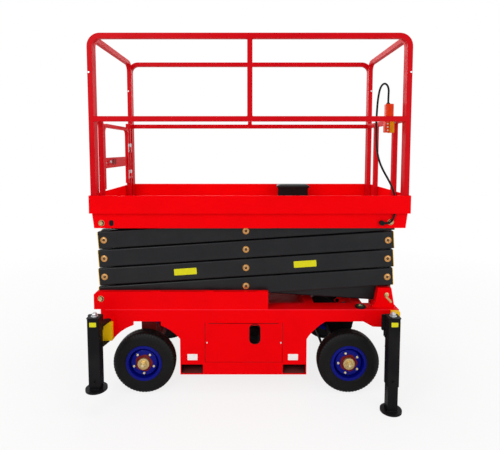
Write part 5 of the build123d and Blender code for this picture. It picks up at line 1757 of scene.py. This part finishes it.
class LIFT_OT_deck_box(bpy.types.Operator):
    """Document box on the deck with its domed lid and clasp"""

    bl_idname = "scissor_lift.deck_box"
    bl_label = "Deck box"

    def execute(self, context):
        low, high = box_of("deck_box")
        size = high - low
        middle = (low + high) / 2
        rim = high.z - LID_HEIGHT
        shell = bmesh.new()
        outline = rounded_outline(size.x - 2 * SHELL_INSET, size.y - 2 * SHELL_INSET, 0.012)
        foot = (middle.x, middle.y, low.z + 0.0005)
        add_prism(shell, outline, foot, FORWARD, LEFTWARD, rim - low.z - 0.001)
        base = finish_piece(shell, "deck_box_shell", "platform", "dark_plastic", bevel=0.002)
        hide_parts("deck_box")
        lid = bmesh.new()
        rings = []
        for inset, lift in LID_LAYERS:
            corner = max(0.004, LID_CORNER - inset / 3)
            outline = rounded_outline(size.x - 2 * inset, size.y - 2 * inset, corner)
            rings.append([lid.verts.new((middle.x + x, middle.y + y, rim + lift)) for x, y in outline])
        lid.faces.new(list(reversed(rings[0])))
        lid.faces.new(rings[-1])
        for ring, above in zip(rings, rings[1:]):
            join_rings(lid, ring, above)
        finish_piece(
            lid, "deck_box_lid", "platform", "dark_plastic", bevel=0.001, smooth_angle=50
        )
        clasp = bmesh.new()
        add_block(clasp, (middle.x, low.y + 0.008, rim - 0.006), CLASP_SIZE)
        finish_piece(clasp, "deck_box_clasp", "platform", "dark_plastic", bevel=0.001)
        return {"FINISHED"}


# --------------------------------------------------------------------- cable

# way of the control cable, from the handset's gland down to the skirt's grommet
CABLE_ROUTE = [
    (0.909, -0.262, 1.882),
    (0.909, -0.262, 1.926),
    (0.911, -0.263, 1.966),
    (0.901, -0.264, 1.995),
    (0.882, -0.266, 2.008),
    (0.862, -0.269, 1.995),
    (0.848, -0.273, 1.966),
    (0.839, -0.278, 1.924),
    (0.832, -0.284, 1.876),
    (0.826, -0.294, 1.812),
    (0.820, -0.306, 1.748),
    (0.817, -0.320, 1.684),
    (0.815, -0.336, 1.620),
    (0.816, -0.354, 1.556),
    (0.826, -0.373, 1.496),
    (0.845, -0.393, 1.442),
    (0.868, -0.413, 1.394),
    (0.890, -0.432, 1.344),
    (0.904, -0.446, 1.290),
    (0.910, -0.448, 1.236),
    (0.909, -0.448, 1.186),
    (0.900, -0.450, 1.148),
    (0.884, -0.450, 1.123),
    (0.866, -0.450, 1.116),
    (0.852, -0.450, 1.116),
]
CABLE_DIAMETER = 0.013


class LIFT_OT_cable(bpy.types.Operator):
    """Control cable from the handset to the grommet in the skirt"""

    bl_idname = "scissor_lift.cable"
    bl_label = "Control cable"

    def execute(self, context):
        line = bpy.data.curves.new("control_cable", "CURVE")
        line.dimensions = "3D"
        line.bevel_depth = CABLE_DIAMETER / 2
        line.bevel_resolution = 4
        line.resolution_u = 12
        spline = line.splines.new("NURBS")
        spline.points.add(len(CABLE_ROUTE) - 1)
        for point, place in zip(spline.points, CABLE_ROUTE):
            point.co = (*place, 1.0)
        spline.order_u = 3
        spline.use_endpoint_u = True
        line.materials.append(FINISHES["cable"])
        cable = bpy.data.objects.new("control_cable", line)
        context.scene.collection.objects.link(cable)
        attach(cable, "platform")
        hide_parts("cable")
        return {"FINISHED"}


# --------------------------------------------------------------------- stage

FLOOR_HALF = 30.0
FADE_SPAN = (1.2, 4.5)        # distances between which the floor fades to plain white

# lamps: name, place, aim, size, power's setting, share of that power
LAMPS = (
    ("key_lamp", (-2.4, -4.2, 3.4), (0, 0, 1.0), 2.6, "key_power", 1.0),
    ("fill_lamp", (3.2, -3.6, 2.2), (0, 0, 0.9), 2.6, "fill_power", 1.0),
    ("top_lamp", (0.0, 0.3, 4.6), (0, 0, 0), 3.0, "top_power", 1.0),
    ("back_lamp", (-1.0, 4.2, 3.2), (0, 0, 1.0), 2.6, "fill_power", 0.8),
)


def make_room(room_light):
    """World that lights evenly and shows white to the camera and in reflections."""
    world = bpy.data.worlds.new("studio")
    bpy.context.scene.world = world
    world.use_nodes = True
    tree = world.node_tree
    tree.nodes.clear()
    room = tree.nodes.new("ShaderNodeBackground")
    room.inputs["Color"].default_value = (1, 1, 1, 1)
    room.inputs["Strength"].default_value = room_light
    white = tree.nodes.new("ShaderNodeBackground")
    white.inputs["Color"].default_value = (1, 1, 1, 1)
    white.inputs["Strength"].default_value = 1.0
    ray = tree.nodes.new("ShaderNodeLightPath")
    mirrored = add_math(tree, "MAXIMUM", ray.outputs["Is Glossy Ray"], ray.outputs["Is Transmission Ray"])
    shown = add_math(tree, "MAXIMUM", ray.outputs["Is Camera Ray"], mirrored)
    mix = tree.nodes.new("ShaderNodeMixShader")
    out = tree.nodes.new("ShaderNodeOutputWorld")
    tree.links.new(shown, mix.inputs["Fac"])
    tree.links.new(room.outputs["Background"], mix.inputs[1])
    tree.links.new(white.outputs["Background"], mix.inputs[2])
    tree.links.new(mix.outputs["Shader"], out.inputs["Surface"])


def studio_floor():
    """Pale floor that blends into the white background and keeps the shadow."""
    material, tree, shader = start_material("studio_floor")
    shader.inputs["Base Color"].default_value = (0.88, 0.88, 0.88, 1)
    shader.inputs["Roughness"].default_value = 0.9
    glow = tree.nodes.new("ShaderNodeEmission")
    glow.inputs["Color"].default_value = (1, 1, 1, 1)
    glow.inputs["Strength"].default_value = 1.0
    place = tree.nodes.new("ShaderNodeTexCoord")
    distance = tree.nodes.new("ShaderNodeVectorMath")
    distance.operation = "LENGTH"
    tree.links.new(place.outputs["Object"], distance.inputs[0])
    fade = add_ramp(tree, distance.outputs["Value"], FADE_SPAN, 0.82, 1.0)
    ray = tree.nodes.new("ShaderNodeLightPath")
    share = add_math(tree, "MULTIPLY", ray.outputs["Is Camera Ray"], fade)
    mix = tree.nodes.new("ShaderNodeMixShader")
    tree.links.new(share, mix.inputs["Fac"])
    tree.links.new(shader.outputs["BSDF"], mix.inputs[1])
    tree.links.new(glow.outputs["Emission"], mix.inputs[2])
    tree.links.new(mix.outputs["Shader"], tree.nodes["Material Output"].inputs["Surface"])
    return material


def make_floor():
    """Wide level floor under the lift."""
    ground = bmesh.new()
    bmesh.ops.create_grid(ground, x_segments=1, y_segments=1, size=FLOOR_HALF)
    mesh = bpy.data.meshes.new("floor")
    ground.to_mesh(mesh)
    ground.free()
    mesh.materials.append(studio_floor())
    floor = bpy.data.objects.new("floor", mesh)
    bpy.context.scene.collection.objects.link(floor)


def make_lamp(name, place, aim, size, power):
    """A square soft lamp that points at a spot."""
    light = bpy.data.lights.new(name, "AREA")
    light.energy = power
    light.size = size
    lamp = bpy.data.objects.new(name, light)
    lamp.location = place
    lamp.rotation_euler = (Vector(aim) - Vector(place)).to_track_quat("-Z", "Y").to_euler()
    bpy.context.scene.collection.objects.link(lamp)


def make_camera(stage):
    """Camera that looks at the right side, level with the guard rails and dipped a little."""
    camera_data = bpy.data.cameras.new("camera")
    camera_data.lens = stage.lens
    camera_data.sensor_width = 36.0
    camera_data.shift_y = stage.lens_shift
    camera = bpy.data.objects.new("camera", camera_data)
    camera.location = stage.camera_place
    camera.rotation_euler = (math.radians(90) - stage.camera_dip, 0, 0)
    bpy.context.scene.collection.objects.link(camera)
    bpy.context.scene.camera = camera


class LIFT_OT_stage(bpy.types.Operator):
    """Floor, lamps, world and camera"""

    bl_idname = "scissor_lift.stage"
    bl_label = "Stage"

    def execute(self, context):
        stage = context.scene.lift_stage
        make_room(stage.room_light)
        make_floor()
        for name, place, aim, size, setting, share in LAMPS:
            make_lamp(name, place, aim, size, getattr(stage, setting) * share)
        make_camera(stage)
        context.scene.view_settings.view_transform = "Standard"
        return {"FINISHED"}


# --------------------------------------------------------------------- panel

SETTINGS = (
    ("lift_paint", PaintSettings, "Paint"),
    ("lift_wheels", WheelSettings, "Wheels"),
    ("lift_fittings", FittingSettings, "Fittings"),
    ("lift_stage", StageSettings, "Stage"),
)

OPERATORS = (
    LIFT_OT_finishes,
    LIFT_OT_tyres,
    LIFT_OT_hubs,
    LIFT_OT_arm_ends,
    LIFT_OT_pin_faces,
    LIFT_OT_arm_labels,
    LIFT_OT_channel_stops,
    LIFT_OT_box_fittings,
    LIFT_OT_level,
    LIFT_OT_pivot_fittings,
    LIFT_OT_axle_fittings,
    LIFT_OT_block_roots,
    LIFT_OT_leg_fittings,
    LIFT_OT_skirt_bolts,
    LIFT_OT_rail_fittings,
    LIFT_OT_gate_fittings,
    LIFT_OT_handset,
    LIFT_OT_deck_box,
    LIFT_OT_cable,
    LIFT_OT_stage,
)


class LIFT_PT_panel(bpy.types.Panel):
    """Lists the settings and the operators"""

    bl_idname = "LIFT_PT_panel"
    bl_label = "Scissor lift"
    bl_space_type = "VIEW_3D"
    bl_region_type = "UI"
    bl_category = "Scissor lift"

    def draw(self, context):
        for name, group, title in SETTINGS:
            block = self.layout.box()
            block.label(text=title)
            settings = getattr(context.scene, name)
            for prop in group.__annotations__:
                block.prop(settings, prop)
        for operator in OPERATORS:
            self.layout.operator(operator.bl_idname)


def register():
    """Add the settings, the operators and the panel to Blender."""
    for name, group, _ in SETTINGS:
        bpy.utils.register_class(group)
        setattr(bpy.types.Scene, name, bpy.props.PointerProperty(type=group))
    for operator in OPERATORS:
        bpy.utils.register_class(operator)
    bpy.utils.register_class(LIFT_PT_panel)


def unregister():
    """Take the panel, the operators and the settings away again."""
    bpy.utils.unregister_class(LIFT_PT_panel)
    for operator in reversed(OPERATORS):
        bpy.utils.unregister_class(operator)
    for name, group, _ in reversed(SETTINGS):
        delattr(bpy.types.Scene, name)
        bpy.utils.unregister_class(group)


def main():
    """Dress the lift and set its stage."""
    register()
    for operator in OPERATORS:
        family, call = operator.bl_idname.split(".")
        getattr(getattr(bpy.ops, family), call)()


if __name__ == "__main__":
    main()
